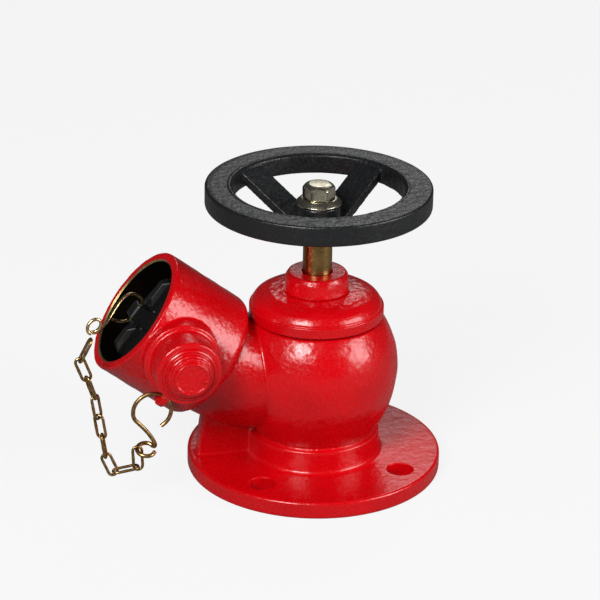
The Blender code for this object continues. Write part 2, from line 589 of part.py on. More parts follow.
def build_cap(outlet, materials):
    """Blank cap: a plug with a grip bar and a drilled boss, and the wire that its chain hangs on."""
    axis = frame_empty("cap_axis", (0.0, 0.0, 0.0), (0.0, 0.0, 0.0), outlet)
    lip = 5.0 * MM
    outline = [(0.0, CAP_SEAT), (CAP_RADIUS - MM, CAP_SEAT), (CAP_RADIUS, CAP_SEAT + MM),
               (CAP_RADIUS, CAP_SEAT + 2.0 * MM), (CAP_RADIUS - 2.0 * MM, CAP_SEAT + 3.0 * MM),
               (CAP_RADIUS - 2.0 * MM, CAP_RIM - 6.5 * MM), (CAP_RADIUS, CAP_RIM - 5.5 * MM),
               (CAP_RADIUS, CAP_RIM - MM), (CAP_RADIUS - MM, CAP_RIM), (CAP_RADIUS - lip, CAP_RIM),
               (CAP_RADIUS - lip - MM, CAP_WEB), (0.0, CAP_WEB)]
    cap = turned("blank_cap", outline, ROUND, axis, materials["plastic"])
    long, thick, tall = CAP_RADIUS - lip + MM, 5.5 * MM, CAP_WEB + 10.0 * MM
    rings = [[(x * long, y * thick, CAP_WEB - MM) for x, y in ((1, 1), (-1, 1), (-1, -1), (1, -1))],
             [(x * long, y * (thick - MM), tall - 1.5 * MM) for x, y in ((1, 1), (-1, 1), (-1, -1), (1, -1))],
             [(x * (long - 3.0 * MM), y * (thick - 2.5 * MM), tall)
              for x, y in ((1, 1), (-1, 1), (-1, -1), (1, -1))]]
    combine(cap, loft("grip_form", rings, axis), "UNION")
    half = CAP_BOSS_WIDTH / 2.0
    square = ((1, 1), (-1, 1), (-1, -1), (1, -1))
    rings = [[(x * (half + 1.5 * MM), y * (half + 1.5 * MM), CAP_WEB - MM) for x, y in square],
             [(x * half, y * half, CAP_BOSS_TOP - 1.5 * MM) for x, y in square],
             [(x * (half - 1.5 * MM), y * (half - 1.5 * MM), CAP_BOSS_TOP) for x, y in square]]
    combine(cap, loft("cap_boss_form", rings, axis), "UNION")
    bore = HOOK_WIRE_RADIUS + GAP
    place = Matrix.Translation((0.0, 0.0, CAP_HOLE_ALONG)) @ Matrix.Rotation(pi / 2.0, 4, "Y")
    combine(cap, turned("cap_hole_form", [(0.0, -2.0 * half), (bore, -2.0 * half), (bore, 2.0 * half),
                                          (0.0, 2.0 * half)], FINE, axis, None, place), "DIFFERENCE")
    wire("hook_wire", hook_wire_route(), HOOK_WIRE_RADIUS, axis, materials["brass"])


def hook_wire_route():
    """Bent by hand: a short tail, through the boss, over the lip of the cup, and round into an eye."""
    through = CAP_HOLE_ALONG / MM
    bends = [(-12.4, -6.5, 179.5), (-12.2, -5.4, 175.5), (-10.8, -3.0, 171.0), (-8.8, -0.8, 167.6),
             (-7.0, 0.0, through), (7.0, 0.0, through), (9.2, -0.9, 168.2), (10.8, -2.6, 173.0),
             (10.6, -4.6, 178.0), (8.0, -7.6, 182.4), (3.4, -11.6, 185.2), (-3.6, -16.6, 187.0),
             (-11.0, -22.6, 188.6), (-16.0, -29.5, 192.0), (-19.2, -35.0, 195.2)]
    route = [Vector((x * MM, y * MM, z * MM)) for x, y, z in bends]
    centre = Vector((-15.4, 0.0, 201.6)) * MM
    turns = 12
    for i in range(turns + 1):
        angle = radians(245.0 - 300.0 * i / turns)
        lead = -38.2 - 3.6 * i / turns
        route.append(centre + Vector((5.6 * sin(angle), lead, 4.4 * cos(angle))) * MM)
    return route


def build_s_hook(materials):
    """S-hook: a wide arc through the ear, a shank, and a closed eye that holds the chain."""
    centre_x, centre_z = S_HOOK_CENTRE
    axis = frame_empty("s_hook_axis", (centre_x, CHAIN_PLANE, centre_z))
    flat = arc((0.0, 0.0), S_HOOK_RADIUS, -62.0, 198.0, 20)
    flat += [(-9.6 * MM, -8.6 * MM), (-5.6 * MM, -13.2 * MM), (-1.8 * MM, -18.4 * MM), (0.6 * MM, -22.6 * MM)]
    route = [(x, 0.0, z) for x, z in flat]
    eye_x, eye_z = S_HOOK_EYE[0] - centre_x, S_HOOK_EYE[1] - centre_z
    route += [(1.9 * MM, 0.2 * MM, -25.8 * MM), (2.1 * MM, 0.9 * MM, -27.8 * MM)]
    steps = 12
    for i in range(steps + 1):
        angle = radians(22.0 + 310.0 * i / steps)
        away = S_HOOK_EYE_RADIUS * sin(angle)
        route.append((eye_x + S_HOOK_EYE_RADIUS * cos(angle), away * cos(S_HOOK_EYE_TILT),
                      eye_z + away * sin(S_HOOK_EYE_TILT)))
    wire("s_hook", route, S_HOOK_WIRE_RADIUS, axis, materials["brass"])


def link_route():
    half = CHAIN_WIDTH / 2.0 - CHAIN_WIRE_RADIUS
    tip = CHAIN_PITCH / 2.0 + CHAIN_WIRE_RADIUS + CHAIN_PLAY / 2.0
    bend = tip - half
    ends = [(bend, 0.0, -90.0), (-bend, 0.0, 90.0)]
    route = []
    for x, y, start in ends:
        route += [(px, py, 0.0) for px, py in arc((x, y), half, start, start + 180.0, 4)]
    return route


def reach_to(twist, neighbour):
    """From a link's middle to its pivot on a neighbour: the link that lies more across is the pin."""
    lean = abs(sin(radians(twist))) - abs(sin(radians(neighbour)))
    tip = CHAIN_PITCH / 2.0 + CHAIN_WIRE_RADIUS + CHAIN_PLAY / 2.0
    if abs(lean) < 0.01:
        return CHAIN_PITCH / 2.0
    return tip if lean > 0.0 else tip - 2.0 * CHAIN_WIRE_RADIUS - CHAIN_PLAY


def build_chain(materials):
    """Nine links, each pivoting on the last about an axis square to the chain's plane."""
    place = Vector((S_HOOK_EYE[0] - S_HOOK_EYE_RADIUS, CHAIN_PLANE, S_HOOK_EYE[1]))
    reach = CHAIN_PITCH / 2.0 - S_HOOK_WIRE_RADIUS - CHAIN_PLAY / 2.0
    for i, (angle, twist) in enumerate(zip(LINK_ANGLES, LINK_TWISTS)):
        turn = radians(angle)
        along = Vector((cos(turn), 0.0, sin(turn)))
        pivot = frame_empty(f"link_axis_{i + 1}", place)
        link = wire(f"chain_link_{i + 1}", link_route(), CHAIN_WIRE_RADIUS, pivot, materials["brass"], closed=True)
        lie = Matrix.Rotation(-turn, 4, "Y") @ Matrix.Rotation(pi / 2.0 + radians(twist), 4, "X")
        link.matrix_local = Matrix.Translation(along * reach) @ lie
        if i + 1 < len(LINK_TWISTS):
            place = place + along * (reach + reach_to(twist, LINK_TWISTS[i + 1]))
            reach = reach_to(LINK_TWISTS[i + 1], twist)


def main():
    clear_scene()
    materials = make_materials()
    outlet = frame_empty("outlet_axis", (0.0, 0.0, OUTLET_HEIGHT), (0.0, OUTLET_TILT - pi / 2.0, 0.0))
    build_body(outlet, materials)
    build_seat(materials)
    build_bonnet(materials)
    build_disc(materials)
    build_spindle(materials)
    build_coupling(outlet, materials)
    build_release(outlet, materials)
    build_cap(outlet, materials)
    build_s_hook(materials)
    build_chain(materials)


main()
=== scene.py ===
# %% [markdown]
# # A flanged hydrant valve
# The object is a landing valve: a red enamelled casting that stands on its pipe flange, a handwheel on
# a rising brass spindle, and an outlet that leans out to one side with a chained blank cap in it.
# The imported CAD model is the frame. It says where every piece is and how it moves. Most pieces that the
# camera sees are modelled again here, at the same sizes but finer, because a sand casting has soft
# edges and a skin that a machinist's solid does not have.

import json
from math import atan2, cos, hypot, pi, radians, sin, sqrt, tan

import bmesh
import bpy
import numpy as np
from mathutils import Matrix, Vector, noise

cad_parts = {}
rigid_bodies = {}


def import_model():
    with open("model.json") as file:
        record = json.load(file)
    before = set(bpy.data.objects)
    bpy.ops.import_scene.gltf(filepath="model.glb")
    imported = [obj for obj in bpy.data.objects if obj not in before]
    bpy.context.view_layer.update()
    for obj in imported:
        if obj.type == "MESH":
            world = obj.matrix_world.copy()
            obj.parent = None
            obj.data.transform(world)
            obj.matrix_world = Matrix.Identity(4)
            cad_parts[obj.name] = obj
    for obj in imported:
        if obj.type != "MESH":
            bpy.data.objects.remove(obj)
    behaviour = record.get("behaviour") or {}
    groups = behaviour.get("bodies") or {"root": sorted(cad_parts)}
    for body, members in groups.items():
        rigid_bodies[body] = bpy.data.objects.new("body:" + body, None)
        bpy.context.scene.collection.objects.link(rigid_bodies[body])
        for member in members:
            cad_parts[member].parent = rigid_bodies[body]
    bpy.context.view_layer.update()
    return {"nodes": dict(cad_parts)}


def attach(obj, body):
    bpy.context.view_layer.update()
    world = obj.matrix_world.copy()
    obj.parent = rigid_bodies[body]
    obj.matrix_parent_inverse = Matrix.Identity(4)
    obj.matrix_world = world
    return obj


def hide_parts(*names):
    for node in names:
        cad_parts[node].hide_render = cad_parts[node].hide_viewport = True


for startup in list(bpy.data.objects):
    bpy.data.objects.remove(startup, do_unlink=True)
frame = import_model()
MM = 0.001

# %% [markdown]
# ## Sizes
# The driving sizes are those of the valve itself: a 65 mm pipe flange, a bulb, an outlet that rises
# at 37.5 degrees. They are written once, in millimetres, and every outline below is made from them.
# What the frame already knows, such as where each chain link hangs, is measured from it instead.

# %% Driving sizes, in millimetres
FLANGE_R, FLANGE_T = 92.5, 12.7
BOLT_CIRCLE_R, BOLT_HOLE_R, BOLT_COUNT = 72.5, 9.5, 4
PEDESTAL_R, PEDESTAL_TOP = 47.5, 30.0
BULB_R, BULB_WAIST, BODY_TOP, WALL = 59.7, 81.0, 117.8, 7.2
TILT = radians(37.5)
OUTLET_HEIGHT = 31.2
BRANCH_R, BRANCH_BORE_R, BRANCH_HEIGHT, BRANCH_BEND, BRANCH_END = 39.5, 31.0, 75.5, 22.0, 97.7
CUP_R, CUP_BORE_R, CUP_START, CUP_FLOOR, CUP_MOUTH = 47.3, 40.7, 98.0, 126.0, 167.7
BOSS_ALONG, BOSS_ROOT_R, BOSS_STEP, BOSS_RIM_R, BOSS_FACE = 138.4, 27.2, 54.5, 23.0, 75.8
KNOB_R, KNOB_FACE_R, KNOB_FACE = 19.2, 11.9, 85.6
BONNET_R, BONNET_LOW, BONNET_SHOULDER, BONNET_CROWN = 48.5, 119.2, 129.5, 138.0
WHEEL_R, WHEEL_BORE_R, WHEEL_TOP, RIM_HEIGHT = 80.8, 61.0, 218.0, 15.2
SPINDLE_R = 10.5
GLAND_R, GLAND_TOP, GLAND_FLATS = 23.9, 152.0, 44.4
HUB_R, HUB_LOW, HUB_TOP, SPOKE_RIM_TOP, SPOKE_SLOPE = 15.5, 180.0, 203.5, 215.0, 0.546
CAP_R, CAP_SEAT, CAP_WEB, CAP_RIM, CAP_HOLE = 36.3, 129.7, 147.0, 152.0, 166.0
HOOK_MIDDLE, HOOK_R, EAR_TURN = Vector((-129.05, -41.0, 72.98)), 13.6, radians(52.5)
HOOK_EYE, HOOK_EYE_R, HOOK_EYE_LEAN = Vector((-133.5, -41.0, 43.5)), 6.4, radians(20.0)
LINK_WIRE_R, LINK_SWING_PAST = 1.05, 0.2
OUTLET_FRAME = Matrix.Translation((0.0, 0.0, OUTLET_HEIGHT)) @ Matrix.Rotation(TILT - pi / 2.0, 4, "Y")
outlet_direction = OUTLET_FRAME.to_3x3() @ Vector((0.0, 0.0, 1.0))
print("the outlet leans along", [round(v, 3) for v in outlet_direction])

# %% [markdown]
# ## Camera
# A photograph is matched from its ellipses first. The flange and the wheel are circles, so their shapes
# in the picture give the camera's height and distance, and two known sizes of the flange give the scale.
# The camera stands 1.8 m away on a long lens, 23.5 degrees above the object.

# %% Set up the camera
PICTURE = 600
FOCAL_PIXELS = 2734.5
CAMERA_DISTANCE, CAMERA_HEIGHT = 1.8009, 0.9129
CAMERA_SWING, CAMERA_PAN, CAMERA_PITCH, CAMERA_ROLL = radians(-15.3), 0.0066, 0.4107, -0.0195

camera = bpy.data.objects.new("camera", bpy.data.cameras.new("camera"))
camera.data.sensor_width = 36.0
camera.data.lens = camera.data.sensor_width * FOCAL_PIXELS / PICTURE
swing = Matrix.Rotation(CAMERA_SWING, 4, "Z")
place = Matrix.Translation((0.0, -CAMERA_DISTANCE, CAMERA_HEIGHT))
aim = Matrix.Rotation(CAMERA_PAN, 4, "Z") @ Matrix.Rotation(pi / 2.0 - CAMERA_PITCH, 4, "X")
camera.matrix_world = swing @ place @ aim @ Matrix.Rotation(-CAMERA_ROLL, 4, "Z")
bpy.context.scene.collection.objects.link(camera)
bpy.context.scene.camera = camera
print("lens in mm:", round(camera.data.lens, 1))

# %% [markdown]
# ## Colours and shader nodes
# Colours are written as sRGB hex, as a paint chart would give them, and Blender's shaders work in linear
# light, so one function turns them. One more adds a shader node with its settings and its links, which
# keeps each material to the few lines that make it what it is.

# %% Helpers for materials
def linear(hex_colour):
    channels = [int(hex_colour[i:i + 2], 16) / 255.0 for i in (1, 3, 5)]
    return (*[c / 12.92 if c <= 0.04045 else ((c + 0.055) / 1.055) ** 2.4 for c in channels], 1.0)


def add(material, kind, settings=None, links=None):
    """Adds a node: settings are its own properties, links are values or other nodes' outputs, by socket."""
    tree = material.node_tree
    node = tree.nodes.new(kind)
    for name, value in (settings or {}).items():
        setattr(node, name, value)
    for socket, value in (links or {}).items():
        if isinstance(value, bpy.types.NodeSocket):
            tree.links.new(value, node.inputs[socket])
        else:
            node.inputs[socket].default_value = value
    return node


def new_material(name, **sockets):
    """A material with its Principled shader, and these values on the shader's own sockets."""
    material = bpy.data.materials.new(name)
    material.use_nodes = True
    shader = material.node_tree.nodes["Principled BSDF"]
    for socket, value in sockets.items():
        shader.inputs[socket].default_value = value
    return material, shader


print("red at full strength in linear light:", [round(c, 3) for c in linear("#d80010")])

# %% [markdown]
# ## Red enamel on a sand casting
# The body, the bonnet and the coupling are cast in sand, sprayed red and stoved. Enamel is smooth and
# glossy by itself, with the refraction of most resins, but a thin coat follows the casting. Sand grains
# of about 1.5 mm break each highlight into sparkle, and slow waves of 7 mm make it wander.

# %% Red enamel
def make_red_enamel():
    material, shader = new_material("stoved_red_enamel", IOR=1.52)
    place = add(material, "ShaderNodeTexCoord").outputs["Object"]
    patches = add(material, "ShaderNodeTexNoise", None, {
        "Vector": place, "Scale": 1.0 / (24 * MM), "Detail": 3.0})
    waves = add(material, "ShaderNodeTexNoise", None, {
        "Vector": place, "Scale": 1.0 / (7 * MM), "Detail": 3.0})
    sand = add(material, "ShaderNodeTexNoise", None, {
        "Vector": place, "Scale": 1.0 / (1.5 * MM), "Detail": 4.0})
    colour = add(material, "ShaderNodeMixRGB", None, {
        "Fac": patches.outputs["Fac"], "Color1": linear("#b80007"), "Color2": linear("#d6000d")})
    gloss = add(material, "ShaderNodeMapRange", None, {
        "Value": sand.outputs["Fac"], "From Min": 0.35, "From Max": 0.65, "To Min": 0.16, "To Max": 0.32})
    slow = add(material, "ShaderNodeBump", None, {"Height": waves.outputs["Fac"], "Distance": 0.32 * MM})
    fine = add(material, "ShaderNodeBump", None, {
        "Height": sand.outputs["Fac"], "Distance": 0.1 * MM, "Normal": slow.outputs["Normal"]})
    material.node_tree.links.new(colour.outputs["Color"], shader.inputs["Base Color"])
    material.node_tree.links.new(gloss.outputs["Result"], shader.inputs["Roughness"])
    material.node_tree.links.new(fine.outputs["Normal"], shader.inputs["Normal"])
    return material


red_enamel = make_red_enamel()
print(red_enamel.name, "has", len(red_enamel.node_tree.nodes), "nodes")

# %% [markdown]
# ## Black paint on rough iron
# The handwheel is the roughest casting of the set. It is dipped in a thin black paint with a half shine,
# which leaves the pits and scars of the sand open to the eye and catches the light on their edges.

# %% Black painted iron
def make_black_iron():
    material, shader = new_material("black_painted_sand_cast_iron", IOR=1.5)
    place = add(material, "ShaderNodeTexCoord").outputs["Object"]
    scars = add(material, "ShaderNodeTexNoise", None, {
        "Vector": place, "Scale": 1.0 / (5 * MM), "Detail": 4.0})
    sand = add(material, "ShaderNodeTexNoise", None, {
        "Vector": place, "Scale": 1.0 / (1.8 * MM), "Detail": 5.0})
    colour = add(material, "ShaderNodeMixRGB", None, {
        "Fac": scars.outputs["Fac"], "Color1": linear("#0c0d0e"), "Color2": linear("#1b1c1e")})
    gloss = add(material, "ShaderNodeMapRange", None, {
        "Value": sand.outputs["Fac"], "From Min": 0.35, "From Max": 0.65, "To Min": 0.28, "To Max": 0.5})
    deep = add(material, "ShaderNodeBump", None, {"Height": scars.outputs["Fac"], "Distance": 0.5 * MM})
    fine = add(material, "ShaderNodeBump", None, {
        "Height": sand.outputs["Fac"], "Distance": 0.1 * MM, "Normal": deep.outputs["Normal"]})
    material.node_tree.links.new(colour.outputs["Color"], shader.inputs["Base Color"])
    material.node_tree.links.new(gloss.outputs["Result"], shader.inputs["Roughness"])
    material.node_tree.links.new(fine.outputs["Normal"], shader.inputs["Normal"])
    return material


black_iron = make_black_iron()
print(black_iron.name, "has", len(black_iron.node_tree.nodes), "nodes")

# %% [markdown]
# ## Brass, bronze and plated steel
# A metal shows how it was made and handled. The stem is turned, so fine rings run round it and pull the
# highlight into an upright streak. The chain is drawn wire, dipped brown and rubbed bright where it is
# touched, and the cap's wire is left as drawn. The bore of the coupling is turned bronze, given a near
# black colour that is painted shade for the inside of the cup.

# %% Metals
def make_metal(name, dark, light, roughness, patch, ring_pitch=0.0):
    """Bare metal with stains of patch millimetres, and turning rings ring_pitch millimetres apart."""
    material, shader = new_material(name, Metallic=1.0)
    place = add(material, "ShaderNodeTexCoord").outputs["Object"]
    stain = add(material, "ShaderNodeTexNoise", None, {
        "Vector": place, "Scale": 1.0 / (patch * MM), "Detail": 4.0})
    share = add(material, "ShaderNodeMapRange", None, {
        "Value": stain.outputs["Fac"], "From Min": 0.35, "From Max": 0.65})
    colour = add(material, "ShaderNodeMixRGB", None, {
        "Fac": share.outputs["Result"], "Color1": linear(dark), "Color2": linear(light)})
    gloss = add(material, "ShaderNodeMapRange", None, {
        "Value": share.outputs["Result"], "To Min": roughness + 0.12, "To Max": roughness})
    skin = add(material, "ShaderNodeTexNoise", None, {
        "Vector": place, "Scale": 1.0 / (0.8 * MM), "Detail": 3.0})
    relief = add(material, "ShaderNodeBump", None, {"Height": skin.outputs["Fac"], "Distance": 0.02 * MM})
    if ring_pitch > 0.0:
        rings = add(material, "ShaderNodeTexWave", {"bands_direction": "Z"}, {
            "Vector": place, "Scale": pi / (10.0 * ring_pitch * MM), "Distortion": 0.4})
        relief = add(material, "ShaderNodeBump", None, {
            "Height": rings.outputs["Fac"], "Distance": 0.006 * MM, "Normal": relief.outputs["Normal"]})
    material.node_tree.links.new(colour.outputs["Color"], shader.inputs["Base Color"])
    material.node_tree.links.new(gloss.outputs["Result"], shader.inputs["Roughness"])
    material.node_tree.links.new(relief.outputs["Normal"], shader.inputs["Normal"])
    return material


turned_brass = make_metal("turned_brass_stem", "#8f7042", "#b5915a", 0.22, 6.0, 0.6)
dipped_brass = make_metal("brown_dipped_brass_wire", "#7d6038", "#c6a46c", 0.26, 2.5)
drawn_brass = make_metal("bright_drawn_brass_wire", "#c9a771", "#ecd3a0", 0.22, 3.0)
# The bore's near black colour is painted shade for the inside of the cup, not the bronze's own tone.
bore_bronze_painted_shade = make_metal("turned_bronze_bore_in_painted_shade", "#1a130f", "#33261d", 0.42, 8.0)
lip_bronze = make_metal("bright_turned_bronze_lip", "#b59a66", "#e0c58c", 0.25, 4.0)
seat_bronze = make_metal("turned_gunmetal_seat", "#8a6238", "#b08750", 0.35, 8.0, 0.4)
plated_steel = make_metal("yellow_plated_steel", "#b5ad98", "#d6cfb8", 0.2, 3.0)
spring_steel = make_metal("drawn_spring_steel", "#77787a", "#a6a7a8", 0.3, 3.0)
print("eight finishes of metal, from", turned_brass.name, "to", spring_steel.name)

# %% [markdown]
# ## Plastic, rubber and packing
# The blank cap is a moulded plastic plug with a satin skin. Its gloss is even and soft, with a faint
# grain from the mould. The seals are moulded rubber, duller, and the gland's packing is graphited yarn.

# %% Plastic, rubber and packing
def make_moulded(name, dark, light, roughness, size, depth):
    """A dark moulded skin with a grain of that size and depth in millimetres."""
    material, shader = new_material(name, IOR=1.5)
    place = add(material, "ShaderNodeTexCoord").outputs["Object"]
    texture = add(material, "ShaderNodeTexNoise", None, {
        "Vector": place, "Scale": 1.0 / (size * MM), "Detail": 3.0})
    colour = add(material, "ShaderNodeMixRGB", None, {
        "Fac": texture.outputs["Fac"], "Color1": linear(dark), "Color2": linear(light)})
    gloss = add(material, "ShaderNodeMapRange", None, {
        "Value": texture.outputs["Fac"], "To Min": roughness, "To Max": roughness + 0.1})
    relief = add(material, "ShaderNodeBump", None, {"Height": texture.outputs["Fac"], "Distance": depth * MM})
    material.node_tree.links.new(colour.outputs["Color"], shader.inputs["Base Color"])
    material.node_tree.links.new(gloss.outputs["Result"], shader.inputs["Roughness"])
    material.node_tree.links.new(relief.outputs["Normal"], shader.inputs["Normal"])
    return material


black_plastic = make_moulded("moulded_black_polypropylene", "#0e0e0f", "#1c1c1d", 0.28, 2.0, 0.02)
black_rubber = make_moulded("moulded_black_rubber", "#141414", "#202020", 0.6, 1.0, 0.03)
graphite_yarn = make_moulded("graphited_packing_yarn", "#26272a", "#3c3d40", 0.5, 1.2, 0.2)
print(black_plastic.name, black_rubber.name, graphite_yarn.name)

# %% [markdown]
# ## Forms
# Nearly all of the valve was turned on a lathe or cast from a turned pattern, so the first tool is a lathe:
# an outline spun about an axis. Sharp corners look false in a render, because no real edge is sharp, so
# an outline names a fillet at each corner and the helper draws the arc.

# %% Outlines and turned forms
def outline(*corners):
    """Points of (radius, height, fillet) in millimetres, each corner rounded by its fillet."""
    points = []
    for i, corner in enumerate(corners):
        here = Vector(corner[:2])
        fillet = corner[2] if len(corner) > 2 else 0.0
        if fillet <= 0.0 or i in (0, len(corners) - 1):
            points.append(here)
            continue
        back = (Vector(corners[i - 1][:2]) - here).normalized()
        ahead = (Vector(corners[i + 1][:2]) - here).normalized()
        half = back.angle(ahead) / 2.0
        centre = here + (back + ahead).normalized() * fillet / sin(half)
        first = here + back * fillet / tan(half) - centre
        turn = (here + ahead * fillet / tan(half) - centre).angle_signed(first)
        steps = max(2, int(abs(turn) * sqrt(fillet) * 4.0))
        points += [centre + Matrix.Rotation(turn * k / steps, 2) @ first for k in range(steps + 1)]
    return [(p.x, p.y) for p in points]


def finer(points, step):
    """The same outline with a point at least every step millimetres."""
    result = [points[0]]
    for start, end in zip(points, points[1:]):
        count = max(1, int(hypot(end[0] - start[0], end[1] - start[1]) / step))
        result += [(start[0] + (end[0] - start[0]) * k / count, start[1] + (end[1] - start[1]) * k / count)
                   for k in range(1, count + 1)]
    return result


def shape(name, bm, placement=None):
    """Links a bmesh, drawn in millimetres, as an object in metres."""
    bm.transform(Matrix.Diagonal((MM, MM, MM, 1.0)) @ (placement or Matrix.Identity(4)))
    bmesh.ops.recalc_face_normals(bm, faces=bm.faces)
    mesh = bpy.data.meshes.new(name)
    bm.to_mesh(mesh)
    bm.free()
    mesh.shade_smooth()
    obj = bpy.data.objects.new(name, mesh)
    bpy.context.scene.collection.objects.link(obj)
    return obj


def turned(name, points, steps=128, placement=None):
    """Spins an outline about Z. The outline closes on itself, on the axis or as a ring."""
    bm = bmesh.new()
    corners = [bm.verts.new((radius, 0.0, height)) for radius, height in points]
    edges = [bm.edges.new(pair) for pair in zip(corners, corners[1:] + corners[:1])
             if pair[0].co.x > 0.0 or pair[1].co.x > 0.0]
    bmesh.ops.spin(bm, geom=corners + edges, cent=(0, 0, 0), axis=(0, 0, 1), angle=2.0 * pi,
                   steps=steps, use_merge=True)
    bmesh.ops.remove_doubles(bm, verts=bm.verts, dist=0.0005)
    return shape(name, bm, placement)


def loft(name, rings, placement=None):
    """A solid through rings of the same number of points, in millimetres, with flat ends."""
    bm = bmesh.new()
    loops = [[bm.verts.new(point) for point in ring] for ring in rings]
    for lower, upper in zip(loops, loops[1:]):
        for i in range(len(lower)):
            j = (i + 1) % len(lower)
            bm.faces.new((lower[i], lower[j], upper[j], upper[i]))
    bm.faces.new(list(reversed(loops[0])))
    bm.faces.new(loops[-1])
    return shape(name, bm, placement)


def arc(centre, radius, start, end, steps):
    angles = [radians(start + (end - start) * i / steps) for i in range(steps + 1)]
    return [(centre[0] + radius * cos(a), centre[1] + radius * sin(a)) for a in angles]


print("a 2 mm fillet takes", len(outline((0, 0), (10, 0, 2), (10, 10))) - 2, "points")

# %% [markdown]
# ## Casting, then machining
# A pattern maker leaves a fillet in every inside corner, because sand would break there and iron would
# crack. Such fillets are hard to draw and easy to melt: the forms are joined with Booleans, rebuilt from
# small voxels and smoothed, which rounds each corner by about two voxels, and noise lifts the skin by a
# tenth of a millimetre. What a foundry machines afterwards is cut afterwards here too, so it stays sharp.

# %% Join, cast, roughen and machine
def paint(obj, material):
    obj.data.materials.clear()
    obj.data.materials.append(material)
    return obj


def combine(target, other, operation="UNION"):
    """Queues a Boolean. The other form's material goes with the faces that it leaves."""
    modifier = target.modifiers.new(other.name, "BOOLEAN")
    modifier.operation = operation
    modifier.solver = "EXACT"
    modifier.material_mode = "TRANSFER"
    modifier.object = other
    return target


def settle(obj):
    """Bakes the modifiers into the mesh and throws away the forms that they used."""
    bpy.context.view_layer.update()
    graph = bpy.context.evaluated_depsgraph_get()
    forms = [m.object for m in obj.modifiers if m.type == "BOOLEAN"]
    mesh = bpy.data.meshes.new_from_object(obj.evaluated_get(graph))
    obj.modifiers.clear()
    obj.data = mesh
    for form in forms:
        bpy.data.objects.remove(form, do_unlink=True)
    return obj


def cast(obj, voxel, passes, material):
    """Rebuilds the joined forms from voxels of that many millimetres and smooths their corners."""
    settle(obj)
    remesh = obj.modifiers.new("voxels", "REMESH")
    remesh.mode = "VOXEL"
    remesh.voxel_size = voxel * MM
    remesh.use_smooth_shade = True
    smooth = obj.modifiers.new("soft corners", "SMOOTH")
    smooth.factor = 0.5
    smooth.iterations = passes
    settle(obj)
    print(obj.name, "cast with", len(obj.data.polygons), "faces")
    return paint(obj, material)


def roughen(obj, size, depth, where=None):
    """Moves the skin in and out by up to depth, in patches of size, as much as where(point in mm) says."""
    normals = [v.normal.copy() for v in obj.data.vertices]
    for vertex, normal in zip(obj.data.vertices, normals):
        point = vertex.co / MM
        amount = depth if where is None else depth * where(point)
        if amount > 0.0:
            vertex.co += normal * (amount * MM * noise.fractal(point / size, 1.0, 2.0, 3))
    obj.data.update()
    return obj


def machine(obj, cutters, angle=35.0):
    """Cuts the finished casting, and keeps the cut edges sharp."""
    for cutter, material in cutters:
        combine(obj, paint(cutter, material), "DIFFERENCE")
    settle(obj)
    obj.data.shade_smooth()
    obj.data.set_sharp_from_angle(angle=radians(angle))
    return obj


def dress(obj, body, slot, *nodes):
    """Lets a piece ride its body, and puts it in the place of the CAD nodes that it stands for."""
    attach(obj, body)
    if nodes:
        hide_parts(*nodes)
    return obj


# %% [markdown]
# ## Valve body
# One hollow casting: a drilled flange, a pedestal ring, a bulb that gives the water room to turn, and a
# branch that leaves the bulb level and bends up to the outlet. The bulb is two quarter ellipses that meet
# at its waist. The branch is a circle swept round a bend, so it is lofted through rings that tilt by
# degrees. The bores and the bolt holes are drilled afterwards, out of forms as fine as the rest.

# %% Valve body
def swell(radius, waist, low, low_radius, high, high_radius, steps=24):
    """Side of a bulb: two quarter ellipses that meet at the waist and pass the given end radii."""
    below = (waist - low) / sqrt(1.0 - (low_radius / radius) ** 2)
    above = (high - waist) / sqrt(1.0 - (high_radius / radius) ** 2)
    heights = [low + (high - low) * i / steps for i in range(steps + 1)]
    return [(radius * sqrt(1.0 - ((h - waist) / (below if h < waist else above)) ** 2), h) for h in heights]


def elbow(name, radius, start, end, steps=96):
    """A round form that runs level at BRANCH_HEIGHT and bends up onto the outlet's axis."""
    corner = (BRANCH_HEIGHT - OUTLET_HEIGHT) / tan(TILT)
    bend = BRANCH_BEND / tan(TILT / 2.0)
    places = [(start, BRANCH_HEIGHT, 0.0)]
    for i in range(13):
        turn = TILT * i / 12
        reach, rise = corner - BRANCH_BEND + bend * sin(turn), bend * (1.0 - cos(turn))
        places.append((reach, BRANCH_HEIGHT + rise, turn))
    places.append((end * cos(TILT), OUTLET_HEIGHT + end * sin(TILT), TILT))
    rings = []
    for reach, height, turn in places:
        circle = arc((0.0, 0.0), radius, 0.0, 360.0, steps)[:-1]
        rings.append([(-reach + up * sin(turn), side, height + up * cos(turn)) for up, side in circle])
    return loft(name, rings)


